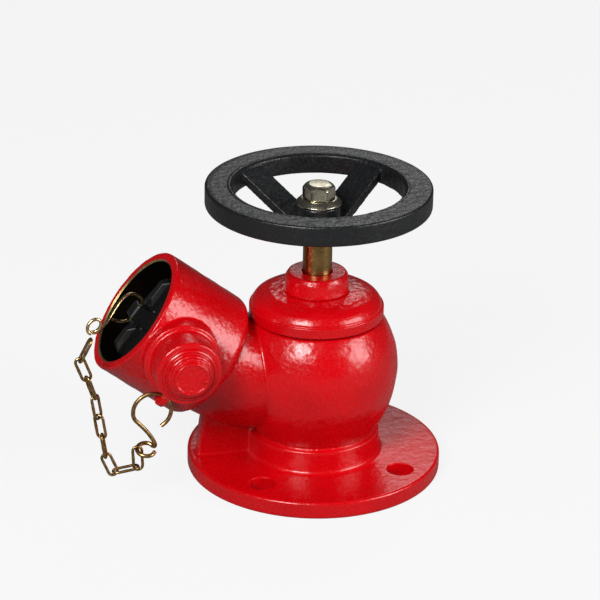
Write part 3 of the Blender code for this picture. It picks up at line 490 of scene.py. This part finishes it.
def make_body():
    foot = outline((0.0, 0.0), (FLANGE_R, 0.0, 1.5), (FLANGE_R, FLANGE_T, 1.8), (PEDESTAL_R, FLANGE_T, 3.0),
                   (PEDESTAL_R, PEDESTAL_TOP, 1.0), (PEDESTAL_R - 3.6, PEDESTAL_TOP + 0.1))
    side = swell(BULB_R, BULB_WAIST, PEDESTAL_TOP + 0.6, PEDESTAL_R - 4.0, BODY_TOP, BONNET_R - 1.2)
    body = turned("valve_casting", foot + side + [(0.0, BODY_TOP)], 160)
    combine(body, elbow("branch", BRANCH_R, 0.0, BRANCH_END))
    spigot_top = BRANCH_END + 12.3
    combine(body, turned("spigot", [(0.0, 80.0), (36.0, 80.0), (36.0, spigot_top), (0.0, spigot_top)],
                         96, OUTLET_FRAME))
    web = [[(-87.0, y, 10.0), (-30.0, y, 10.0), (-30.0, y, 56.0), (-82.0, y, 56.0)] for y in (11.0, 1.0)]
    combine(body, loft("web", web))
    cast(body, 0.9, 3, red_enamel)
    roughen(body, 2.2, 0.09, lambda p: float(p.z > FLANGE_T - 1.0 and hypot(p.x, p.y) < FLANGE_R - 3.0))
    roughen(body, 14.0, 0.3, lambda p: float(PEDESTAL_TOP + 4.0 < p.z < BODY_TOP - 4.0))

    room = swell(BULB_R - WALL, BULB_WAIST, 41.0, 41.0, 101.0, 43.0)
    chamber = [(0.0, -1.0), (32.5, -1.0), (32.5, 36.0), (35.3, 36.0), (35.3, 41.0)] + room
    chamber += [(40.3, 101.5), (40.3, BODY_TOP + 1.0), (0.0, BODY_TOP + 1.0)]
    cuts = [(turned("chamber", chamber, 96), red_enamel),
            (elbow("outlet_bore", BRANCH_BORE_R, 30.0, CUP_FLOOR), red_enamel)]
    for i in range(BOLT_COUNT):
        angle = pi / BOLT_COUNT + 2.0 * pi * i / BOLT_COUNT
        place = Matrix.Translation((BOLT_CIRCLE_R * cos(angle), BOLT_CIRCLE_R * sin(angle), 0.0))
        hole = outline((0.0, -2.0), (BOLT_HOLE_R, -2.0), (BOLT_HOLE_R, FLANGE_T - 0.7),
                       (BOLT_HOLE_R + 1.4, FLANGE_T + 0.7), (0.0, FLANGE_T + 0.7))
        cuts.append((turned("bolt_hole", hole, 64, place), red_enamel))
    return machine(body, cuts)


valve_body = dress(make_body(), "valve", "red_enamel", "valve_body")
print("body:", len(valve_body.data.polygons), "faces")

# %% [markdown]
# ## Bonnet
# The screwed cover of the valve. Its collar and the step above it were turned, so their edges stay crisp
# and bright, while the dome inside them is left as cast, rougher towards the gland. It is spun from one
# outline, finely enough for the skin of the dome to be roughened by itself.

# %% Bonnet
def make_bonnet():
    crown = outline((BONNET_R - 0.8, BONNET_LOW), (BONNET_R, BONNET_LOW + 0.8, 0.3),
                    (BONNET_R, BONNET_SHOULDER - 2.6, 0.7), (BONNET_R - 1.3, BONNET_SHOULDER - 2.2, 0.4),
                    (BONNET_R - 1.6, BONNET_SHOULDER - 0.4, 0.7), (BONNET_R - 2.8, BONNET_SHOULDER + 1.6, 2.0),
                    (44.0, BONNET_CROWN - 4.7, 6.0), (40.0, BONNET_CROWN - 2.4, 8.0),
                    (34.0, BONNET_CROWN - 0.7, 8.0), (24.5, BONNET_CROWN, 1.5), (17.0, BONNET_CROWN))
    inside = [(17.0, 148.0), (14.3, 148.0), (14.3, 126.0), (10.8, 126.0), (10.8, 96.0), (18.0, 96.0),
              (18.0, 106.0), (34.0, 108.0), (35.0, 102.0), (40.0, 102.0), (40.0, BONNET_LOW)]
    bonnet = turned("bonnet_casting", finer(crown, 0.8) + inside, 220)
    paint(bonnet, red_enamel)
    roughen(bonnet, 3.5, 0.3, lambda p: min(1.0, (43.0 - hypot(p.x, p.y)) / 8.0)
            if 23.0 < hypot(p.x, p.y) < 43.0 else 0.0)
    bonnet.data.set_sharp_from_angle(angle=radians(50.0))
    return bonnet


bonnet = dress(make_bonnet(), "valve", "red_enamel", "bonnet")
print("bonnet:", len(bonnet.data.polygons), "faces")

# %% [markdown]
# ## Gland nut
# A round boss with six flats milled on it for the spanner. The flats cut into a cone, so the top of each
# is an arc that is highest at its middle. The blank is cast first and the flats are cut afterwards, so the
# arcs come out crisp, with no drawing at all, and a round base is left under them.

# %% Gland nut
def hexagon(across_flats, turn):
    corner = across_flats / sqrt(3.0)
    return [(corner * cos(radians(turn + 60 * i)), corner * sin(radians(turn + 60 * i))) for i in range(6)]


def prism(name, corners, low, high, placement=None):
    return loft(name, [[(x, y, z) for x, y in corners] for z in (low, high)], placement)


def make_gland():
    low, high = BONNET_CROWN + 0.3, GLAND_TOP
    blank = outline((0.0, low), (GLAND_R, low, 0.6), (GLAND_R - 0.2, high - 10.0, 3.0),
                    (GLAND_R - 1.0, high - 3.6, 2.0), (GLAND_R - 3.3, high, 1.6), (0.0, high))
    nut = turned("gland_casting", blank, 160)
    cast(nut, 0.45, 2, red_enamel)
    roughen(nut, 2.5, 0.12, lambda p: 1.0 if p.z < high - 2.0 else 0.4)
    around = [(0.0, low + 1.2), (40.0, low + 1.2), (40.0, high + 3.0), (0.0, high + 3.0)]
    flats = turned("gland_flats", around, 12)
    combine(flats, prism("gland_hexagon", hexagon(GLAND_FLATS, 18.0), low, high + 4.0), "DIFFERENCE")
    settle(flats)
    hollow = [(0.0, low - 2.0), (17.3, low - 2.0), (17.3, 149.3), (10.8, 149.3), (10.8, 151.4), (11.8, 152.6),
              (0.0, 152.6)]
    return machine(nut, [(flats, red_enamel), (turned("gland_hollow", hollow, 96), red_enamel)])


gland_nut = dress(make_gland(), "valve", "red_enamel", "gland_nut")
print("gland nut:", len(gland_nut.data.polygons), "faces")

# %% [markdown]
# ## Handwheel
# A flat ring with four flat spokes that fall towards a hub, all one casting. The ring keeps a low ridge
# beside its inner edge, where the two halves of the mould met. It is cast from voxels like the body, with
# deeper scars, and the hub's square hole is cut afterwards.

# %% Handwheel
def make_wheel():
    low, top = WHEEL_TOP - RIM_HEIGHT, WHEEL_TOP
    rim = outline((WHEEL_BORE_R + 6.0, low), (WHEEL_R, low, 1.5), (WHEEL_R, top - 0.4, 1.4),
                  (WHEEL_R - 4.5, top - 0.1, 1.0), (WHEEL_BORE_R + 3.6, top - 0.4, 0.6),
                  (WHEEL_BORE_R + 3.0, top, 0.5), (WHEEL_BORE_R + 1.8, top, 0.5),
                  (WHEEL_BORE_R + 1.2, top - 1.0, 0.5), (WHEEL_BORE_R, top - 1.2, 0.8),
                  (WHEEL_BORE_R, low, 1.5), (WHEEL_BORE_R + 6.0, low))
    wheel = turned("wheel_casting", rim[:-1], 200)
    hub = outline((0.0, HUB_LOW), (HUB_R, HUB_LOW, 1.0), (HUB_R, HUB_TOP, 1.0), (0.0, HUB_TOP))
    combine(wheel, turned("hub", hub, 96))
    for i in range(4):
        rings = []
        for reach in (HUB_R - 4.0, WHEEL_BORE_R + 3.0):
            high = SPOKE_RIM_TOP + SPOKE_SLOPE * (reach - WHEEL_BORE_R)
            rings.append([(reach, -11.5, high - 7.0), (reach, 11.5, high - 7.0),
                          (reach, 10.7, high), (reach, -10.7, high)])
        combine(wheel, loft("spoke", rings, Matrix.Rotation(radians(38.0 + 90.0 * i), 4, "Z")))
    cast(wheel, 0.6, 2, black_iron)
    roughen(wheel, 4.0, 0.3, lambda p: 0.0 if hypot(p.x, p.y) >= WHEEL_R - 1.5 else
            1.0 if p.x - p.y > 20.0 and hypot(p.x, p.y) < WHEEL_R - 3.0 else 0.35)
    square = [(6.8, 6.8), (-6.8, 6.8), (-6.8, -6.8), (6.8, -6.8)]
    return machine(wheel, [(prism("square_hole", square, HUB_LOW - 1.0, HUB_TOP + 1.0), black_iron)], 60.0)


handwheel = dress(make_wheel(), "handwheel", "black_cast_iron", "handwheel")
print("handwheel:", len(handwheel.data.polygons), "faces")

# %% [markdown]
# ## Spindle, washer and domed nut
# The spindle is bar brass: turned, squared at the top for the wheel, and drawn down to a stud. The washer
# is a thick cone with its wide side down. The nut is a hexagon crossed with a dome, and a small bevel
# stands for the edge that a real spanner flat has, because that edge is what catches the light.

# %% Spindle, washer and nut
def make_spindle():
    stem = outline((0.0, 54.0), (9.0, 54.0), (10.0, 55.0), (10.0, 60.0), (6.0, 60.0), (6.0, 70.0), (9.5, 70.0),
                   (SPINDLE_R, 71.0), (SPINDLE_R, 179.7, 0.6), (0.0, 179.7))
    spindle = turned("spindle_bar", stem, 96)
    square = [(6.5, 6.5), (-6.5, 6.5), (-6.5, -6.5), (6.5, -6.5)]
    combine(spindle, prism("square_end", square, 178.7, 202.3))
    combine(spindle, turned("stud", [(0.0, 179.7), (6.0, 179.7), (6.0, 211.5), (5.0, 212.5), (0.0, 212.5)], 48))
    settle(spindle)
    spindle.data.set_sharp_from_angle(angle=radians(40.0))
    return paint(spindle, turned_brass)


def make_washer():
    ring = outline((6.3, 203.8), (16.0, 203.8, 0.4), (16.4, 205.0, 0.8), (13.2, 208.0, 0.6), (12.2, 208.3, 0.2),
                   (6.3, 208.3))
    return paint(turned("wheel_washer_cone", ring, 96), plated_steel)


def make_nut():
    low, high = 208.6, 218.9
    nut = prism("domed_nut", hexagon(20.6, -75.3), low, high)
    dome = outline((0.0, low - 1.0), (11.7, low - 1.0), (11.7, high - 3.0, 1.0), (9.8, high - 0.9, 2.0),
                   (7.0, high - 0.1, 2.0), (0.0, high - 0.1))
    combine(nut, turned("dome", dome, 96), "INTERSECT")
    bore = turned("nut_bore", [(0.0, low - 1.0), (6.3, low - 1.0), (6.3, 213.0), (0.0, 214.0)], 48)
    combine(nut, bore, "DIFFERENCE")
    settle(nut)
    nut.data.set_sharp_from_angle(angle=radians(30.0))
    bevel = nut.modifiers.new("spanner edges", "BEVEL")
    bevel.width = 0.35 * MM
    bevel.segments = 2
    bevel.angle_limit = radians(40.0)
    return paint(nut, plated_steel)


spindle = dress(make_spindle(), "handwheel", "brass", "spindle")
washer = dress(make_washer(), "handwheel", "plated_steel", "wheel_washer")
nut = dress(make_nut(), "handwheel", "plated_steel", "wheel_nut")

# %% [markdown]
# ## Outlet coupling
# A cup that holds the hose's end, with a boss on its side for the release plunger and an ear for the
# chain. Inside it is turned, with a bright lip where the tool left off and a bore whose near black
# colour is painted shade. The casting is red all over: the cutters carry the colours of the machined metal,
# and the bore's painted shade, onto the faces they leave.

# %% Outlet coupling
SIDE_FRAME = OUTLET_FRAME @ Matrix.Translation((0.0, 0.0, BOSS_ALONG)) @ Matrix.Rotation(pi / 2.0, 4, "X")
ear_place = HOOK_MIDDLE + HOOK_R * Vector((cos(EAR_TURN), 0.0, sin(EAR_TURN)))
EAR_CENTRE = tuple(OUTLET_FRAME.inverted() @ ear_place)


def make_coupling():
    cup = turned("coupling_casting", outline((0.0, CUP_START), (CUP_R, CUP_START, 8.0), (CUP_R, CUP_MOUTH, 1.2),
                                             (0.0, CUP_MOUTH)), 160, OUTLET_FRAME)
    boss = outline((0.0, 30.0), (BOSS_ROOT_R, 30.0), (BOSS_ROOT_R, BOSS_STEP, 1.5),
                   (BOSS_RIM_R + 0.4, BOSS_STEP, 2.0), (BOSS_RIM_R + 0.2, BOSS_FACE, 1.8), (0.0, BOSS_FACE))
    combine(cup, turned("boss", boss, 96, SIDE_FRAME))
    across, side, along = EAR_CENTRE
    rim = [(40.0, -11.2)] + arc((hypot(across, side), 0.0), 7.5, -80.0, 80.0, 24) + [(40.0, 11.2)]
    place = OUTLET_FRAME @ Matrix.Translation((0.0, 0.0, along)) @ Matrix.Rotation(atan2(side, across), 4, "Z")
    combine(cup, prism("ear", rim, -2.25, 2.25, place))
    cast(cup, 0.7, 3, red_enamel)
    roughen(cup, 2.2, 0.09)
    roughen(cup, 12.0, 0.25)

    socket = [(0.0, 97.0), (36.3, 97.0), (36.3, 110.3), (31.0, 110.3), (31.0, CUP_FLOOR),
              (CUP_BORE_R, CUP_FLOOR), (CUP_BORE_R, CUP_MOUTH + 1.0), (0.0, CUP_MOUTH + 1.0)]
    lip = [(0.0, CUP_MOUTH - 1.0), (CUP_BORE_R, CUP_MOUTH - 1.0), (CUP_BORE_R + 1.1, CUP_MOUTH + 0.1),
           (CUP_BORE_R + 1.1, CUP_MOUTH + 1.0), (0.0, CUP_MOUTH + 1.0)]
    # The socket cutter leaves the bore in the near black bronze that paints its shade.
    cuts = [(turned("socket", socket, 128, OUTLET_FRAME), bore_bronze_painted_shade),
            (turned("lip", lip, 128, OUTLET_FRAME), lip_bronze),
            (turned("ear_hole", [(0.0, -5.0), (2.2, -5.0), (2.2, 5.0), (0.0, 5.0)], 32,
                    OUTLET_FRAME @ Matrix.Translation(EAR_CENTRE)), red_enamel)]
    seat = [(0.0, 30.0), (6.8, 30.0), (6.8, 52.0), (14.3, 52.0), (14.3, 70.0), (19.5, 70.0),
            (19.5, BOSS_FACE + 1.0), (0.0, BOSS_FACE + 1.0)]
    cuts.append((turned("plunger_seat", seat, 96, SIDE_FRAME), red_enamel))
    return machine(cup, cuts)


coupling = dress(make_coupling(), "valve", "red_enamel", "outlet_coupling")
print("coupling:", len(coupling.data.polygons), "faces in", len(coupling.data.materials), "materials")

# %% [markdown]
# ## Release knob and plunger
# Pulling the knob frees the hose. It is a stepped dome, cast with the same skin as the cup and turned
# only at its rim, and two small bumps on its face are left from the mould. The plunger behind it is a
# brass pin whose nose stands in the cup's bore.

# %% Release knob and plunger
def make_knob():
    dome = outline((5.3, 70.3), (KNOB_R, 70.3, 0.6), (KNOB_R, 77.4, 1.0), (KNOB_R - 1.7, 78.6, 0.5),
                   (KNOB_R - 1.9, 77.9, 0.3), (KNOB_R - 2.9, 78.1, 0.5), (KNOB_R - 3.2, 80.4, 0.8),
                   (15.0, 80.8, 0.6), (14.6, 82.6, 0.8), (12.7, 83.0, 0.5), (12.4, KNOB_FACE - 0.4, 0.7),
                   (KNOB_FACE_R - 0.9, KNOB_FACE, 0.5), (KNOB_FACE_R - 1.9, KNOB_FACE - 0.6, 0.4),
                   (0.0, KNOB_FACE - 0.6))
    knob = turned("release_dome", finer(dome, 0.7) + [(0.0, 78.3), (5.3, 78.3)], 144, SIDE_FRAME)
    for turn in BUMP_TURNS:
        spot = Matrix.Translation((9.2 * cos(turn), 9.2 * sin(turn), KNOB_FACE - 0.9))
        bump = outline((0.0, -0.8), (1.6, -0.8), (1.5, 1.2, 0.6), (0.0, 1.4))
        combine(knob, turned("bump", bump, 24, SIDE_FRAME @ spot))
    settle(knob)
    knob.data.set_sharp_from_angle(angle=radians(50.0))
    paint(knob, red_enamel)
    centre = SIDE_FRAME @ Vector((0.0, 0.0, 80.0))
    return roughen(knob, 3.0, 0.32, lambda p: 1.0 if (p - centre).length < KNOB_R - 2.0 else 0.2)


def make_plunger():
    pin = outline((0.0, 36.6), (5.0, 36.6), (6.5, 38.1, 0.6), (6.5, 52.3), (11.0, 52.3), (11.0, 54.6),
                  (5.0, 54.6), (5.0, 78.0), (0.0, 78.0))
    plunger = turned("plunger_pin", pin, 64, SIDE_FRAME)
    plunger.data.set_sharp_from_angle(angle=radians(40.0))
    return paint(plunger, turned_brass)


BUMP_TURNS = (radians(-68.0), radians(-145.0))
knob = dress(make_knob(), "release_front", "red_enamel", "release_knob_front")
plunger = dress(make_plunger(), "release_front", "brass", "plunger_front")

# %% [markdown]
# ## Blank cap
# A plug moulded in black plastic: a rim with a groove for its seal, a sunk web, a broad grip bar across it
# and a small square boss with a cross hole for the wire. Thick plastic shrinks and rounds as it cools, so
# it takes the same voxel treatment as the castings, with smaller voxels and no roughening.

# %% Blank cap
def make_cap():
    seat, rim, web, groove_r = CAP_SEAT, CAP_RIM, CAP_WEB, CAP_R - 2.0
    plug = outline((0.0, seat), (CAP_R, seat, 1.0), (CAP_R, seat + 2.4, 0.4), (groove_r, seat + 3.0, 0.4),
                   (groove_r, rim - 6.5, 0.4), (CAP_R, rim - 5.8, 0.4), (CAP_R, rim, 1.2),
                   (CAP_R - 5.0, rim, 1.0), (CAP_R - 6.0, web, 1.5), (0.0, web))
    cap = turned("cap_moulding", plug, 128, OUTLET_FRAME)
    corners = ((1, 1), (-1, 1), (-1, -1), (1, -1))
    bar = [(32.3, 6.2, web - 1.0), (32.3, 4.9, web + 9.0), (31.0, 4.3, web + 10.5)]
    combine(cap, loft("grip_bar", [[(x * i, y * j, z) for i, j in corners] for x, y, z in bar], OUTLET_FRAME))
    for end in (1, -1):
        grip = [[(9.0 * end, 4.8), (31.6 * end, 4.8), (31.6 * end, -4.8), (9.0 * end, -4.8)],
                [(14.0 * end, 3.4), (27.5 * end, 3.4), (27.5 * end, -3.4), (14.0 * end, -3.4)]]
        levels = [(grip[0], web + 8.0), (grip[0], web + 13.5), (grip[1], web + 17.5)]
        combine(cap, loft("grip_end", [[(x, y, z) for x, y in ring] for ring, z in levels], OUTLET_FRAME))
    post = [(8.0, web - 1.0), (6.6, web + 9.0), (6.0, 168.3), (4.8, 169.9)]
    combine(cap, loft("boss", [[(w * i, w * j, z) for i, j in corners] for w, z in post], OUTLET_FRAME))
    cast(cap, 0.5, 2, black_plastic)
    hole = OUTLET_FRAME @ Matrix.Translation((0.0, 0.0, CAP_HOLE)) @ Matrix.Rotation(pi / 2.0, 4, "Y")
    cutter = turned("cross_hole", [(0.0, -12.0), (1.4, -12.0), (1.4, 12.0), (0.0, 12.0)], 32, hole)
    return machine(cap, [(cutter, black_plastic)], 50.0)


blank_cap = dress(make_cap(), "cap", "black_plastic", "blank_cap")
print("cap:", len(blank_cap.data.polygons), "faces")

# %% [markdown]
# ## Wires
# The cap hangs on a piece of bright wire bent by hand, and the chain ends in a heavier S-hook that passes
# through the ear. Bent wire has no straight runs, so each route is a smooth Bezier through a few points,
# with automatic handles and a round bevel. Each point may swell or thin the wire a little.

# %% Bent wires
def wire(name, points, radius, material, closed=False, swells=None):
    """A round wire of that radius in millimetres, smooth through the points."""
    curve = bpy.data.curves.new(name, "CURVE")
    curve.dimensions = "3D"
    curve.bevel_depth = radius * MM
    curve.bevel_resolution = 5
    curve.resolution_u = 5
    curve.use_fill_caps = True
    spline = curve.splines.new("BEZIER")
    spline.bezier_points.add(len(points) - 1)
    for i, (target, point) in enumerate(zip(spline.bezier_points, points)):
        target.co = Vector(point) * MM
        target.handle_left_type = target.handle_right_type = "AUTO"
        target.radius = swells[i] if swells else 1.0
    spline.use_cyclic_u = closed
    curve.materials.append(material)
    obj = bpy.data.objects.new(name, curve)
    bpy.context.scene.collection.objects.link(obj)
    return obj


def hook_wire_route():
    bends = [(-12.4, -6.5, 179.5), (-12.2, -5.4, 175.5), (-10.8, -3.0, 171.0), (-8.8, -0.8, 167.6),
             (-7.0, 0.0, 166.0), (0.0, 0.0, 166.0), (7.0, 0.0, 166.0), (9.2, -0.9, 168.2), (10.8, -2.6, 173.0),
             (10.6, -4.6, 178.0), (8.0, -7.6, 182.4), (3.4, -11.6, 185.2), (-3.6, -16.6, 187.0),
             (-11.0, -22.6, 188.6), (-16.0, -29.5, 192.0), (-19.2, -35.0, 195.2)]
    for i in range(13):
        angle = radians(245.0 - 29.0 * i)
        bends.append((-15.4 + 5.6 * sin(angle), -38.2 - 0.3 * i, 201.6 + 4.4 * cos(angle)))
    return [OUTLET_FRAME @ Vector(point) for point in bends]


def s_hook_route():
    route = [(x, 0.0, z) for x, z in arc((0.0, 0.0), HOOK_R, -62.0, 198.0, 13)]
    route += [(-9.6, 0.0, -8.6), (-5.6, 0.0, -13.2), (-1.8, 0.0, -18.4), (0.6, 0.0, -22.6), (2.1, 0.6, -26.8)]
    eye = HOOK_EYE - HOOK_MIDDLE
    for i in range(10):
        angle = radians(22.0 + 310.0 * i / 9)
        away = HOOK_EYE_R * sin(angle)
        route.append((eye.x + HOOK_EYE_R * cos(angle), away * cos(HOOK_EYE_LEAN),
                      eye.z + away * sin(HOOK_EYE_LEAN)))
    return [HOOK_MIDDLE + Vector(point) for point in route]


hook_wire = dress(wire("bent_cap_wire", hook_wire_route(), 1.2, drawn_brass), "cap", "brass", "hook_wire")
s_hook = dress(wire("bent_s_hook", s_hook_route(), 1.5, dipped_brass), "s_hook", "brass", "s_hook")
print("wires:", hook_wire.name, s_hook.name)

# %% [markdown]
# ## Chain
# Nine welded links. The frame knows where each hangs, so a link is drawn once, lying flat, and set in
# place by the three main directions of the CAD link's own points: its length, its width and its wire. A
# smooth curve swings a little past its points, so the width gives that back. The weld in the middle of one
# side leaves the wire a little thicker there.

# %% Chain links
def link_place(node):
    """The middle and the long, wide and thick directions of a CAD link, in millimetres."""
    points = np.array([node.matrix_world @ vertex.co for vertex in node.data.vertices]) / MM
    middle = points.mean(axis=0)
    directions = np.linalg.svd(points - middle, full_matrices=False)[2]
    directions[2] = np.cross(directions[0], directions[1])
    spans = (points - middle) @ directions.T
    centre = middle + ((spans.max(axis=0) + spans.min(axis=0)) / 2.0) @ directions
    place = Matrix.Translation(Vector(centre)) @ Matrix([list(row) for row in directions.T]).to_4x4()
    return place, spans.max(axis=0) - spans.min(axis=0)


def make_link(number):
    place, spans = link_place(frame["nodes"][f"chain_link_{number}"])
    radius = LINK_WIRE_R
    bend = spans[1] / 2.0 - radius - LINK_SWING_PAST
    reach = spans[0] / 2.0 - radius - bend
    flat = [(0.0, -bend), (reach * 0.6, -bend)] + arc((reach, 0.0), bend, -90.0, 90.0, 6)
    flat += [(reach * 0.6, bend), (-reach * 0.6, bend)] + arc((-reach, 0.0), bend, 90.0, 270.0, 6)
    flat += [(-reach * 0.6, -bend)]
    swells = [1.1] + [1.0] * (len(flat) - 1)
    route = [place @ Vector((x, y, 0.0)) for x, y in flat]
    return wire(f"welded_link_{number}", route, radius, dipped_brass, True, swells)


for number in range(1, 10):
    dress(make_link(number), f"link_{number}", "brass", f"chain_link_{number}")
place, spans = link_place(frame["nodes"]["chain_link_1"])
print("a link is", [round(float(span), 1) for span in spans], "mm")

# %% [markdown]
# ## Hidden works
# The seat, the disc, the packing, the spring and the seals are close to their real shape in the CAD
# model already, and only a raised wheel or a pulled cap shows them, so those pieces stay and only take
# the finish of their metal or rubber.

# %% Finishes for the pieces that stay
finishes = {
    "seat_ring": seat_bronze, "valve_disc": seat_bronze, "disc_nut": turned_brass,
    "disc_retainer": turned_brass, "gland_follower": turned_brass, "guide_ring_front": turned_brass,
    "disc_washer": black_rubber, "bonnet_gasket": black_rubber, "coupling_seal": black_rubber,
    "gland_packing": graphite_yarn, "release_spring_front": spring_steel}
for name, material in finishes.items():
    paint(frame["nodes"][name], material)
print(len(finishes), "pieces keep their CAD shape")

# %% [markdown]
# ## Floor and light
# A catalogue picture: a white table that fills the frame, one large soft box above the camera's left
# shoulder, a weaker one on the right, and a faint lamp from behind for the wheel's far edge. The floor
# shows the camera an even paper white, and its lit share keeps the object's own faint shadow.

# %% Floor, world and lights
def make_paper(name, lit_share):
    """Paper white for the camera, with a share of real light and shadow in it."""
    material = bpy.data.materials.new(name)
    material.use_nodes = True
    material.node_tree.nodes.clear()
    path = add(material, "ShaderNodeLightPath")
    seen = add(material, "ShaderNodeMath", {"operation": "MULTIPLY"}, {
        0: path.outputs["Is Camera Ray"], 1: 1.0 - lit_share})
    lit = add(material, "ShaderNodeBsdfDiffuse", None, {"Color": linear("#8c8c8c")})
    glow = add(material, "ShaderNodeEmission", None, {"Color": linear("#ffffff"), "Strength": 1.23})
    mix = add(material, "ShaderNodeMixShader", None, {
        0: seen.outputs[0], 1: lit.outputs[0], 2: glow.outputs[0]})
    add(material, "ShaderNodeOutputMaterial", None, {"Surface": mix.outputs[0]})
    return material


def soft_box(name, size, power, place, target=(0.0, 0.0, 0.1)):
    """A square area light of size metres, aimed at a point."""
    light = bpy.data.lights.new(name, "AREA")
    light.size = size
    light.energy = power
    obj = bpy.data.objects.new(name, light)
    obj.location = place
    obj.rotation_euler = (Vector(target) - Vector(place)).to_track_quat("-Z", "Y").to_euler()
    bpy.context.scene.collection.objects.link(obj)
    return obj


bm = bmesh.new()
bmesh.ops.create_grid(bm, x_segments=1, y_segments=1, size=6000.0)
floor = paint(shape("paper_floor", bm), make_paper("white_paper", 0.3))

scene = bpy.context.scene
scene.world = bpy.data.worlds.new("studio")
scene.world.use_nodes = True
room = scene.world.node_tree
room.nodes.clear()
seen = add(scene.world, "ShaderNodeLightPath").outputs["Is Camera Ray"]
tint = add(scene.world, "ShaderNodeMixRGB", None, {
    "Fac": seen, "Color1": linear("#3c3d3f"), "Color2": linear("#f5f5f5")})
sky = add(scene.world, "ShaderNodeBackground", None, {"Color": tint.outputs["Color"]})
add(scene.world, "ShaderNodeOutputWorld", None, {"Surface": sky.outputs["Background"]})

key_light = soft_box("key_soft_box", 0.9, 56.0, (-1.3, -1.5, 1.5))
fill_light = soft_box("fill_soft_box", 1.2, 36.0, (1.7, -1.2, 0.9))
rim_light = soft_box("back_strip", 0.7, 4.0, (0.6, 1.6, 1.3))
scene.view_settings.view_transform = "Standard"
print("lights:", key_light.name, fill_light.name, rim_light.name)
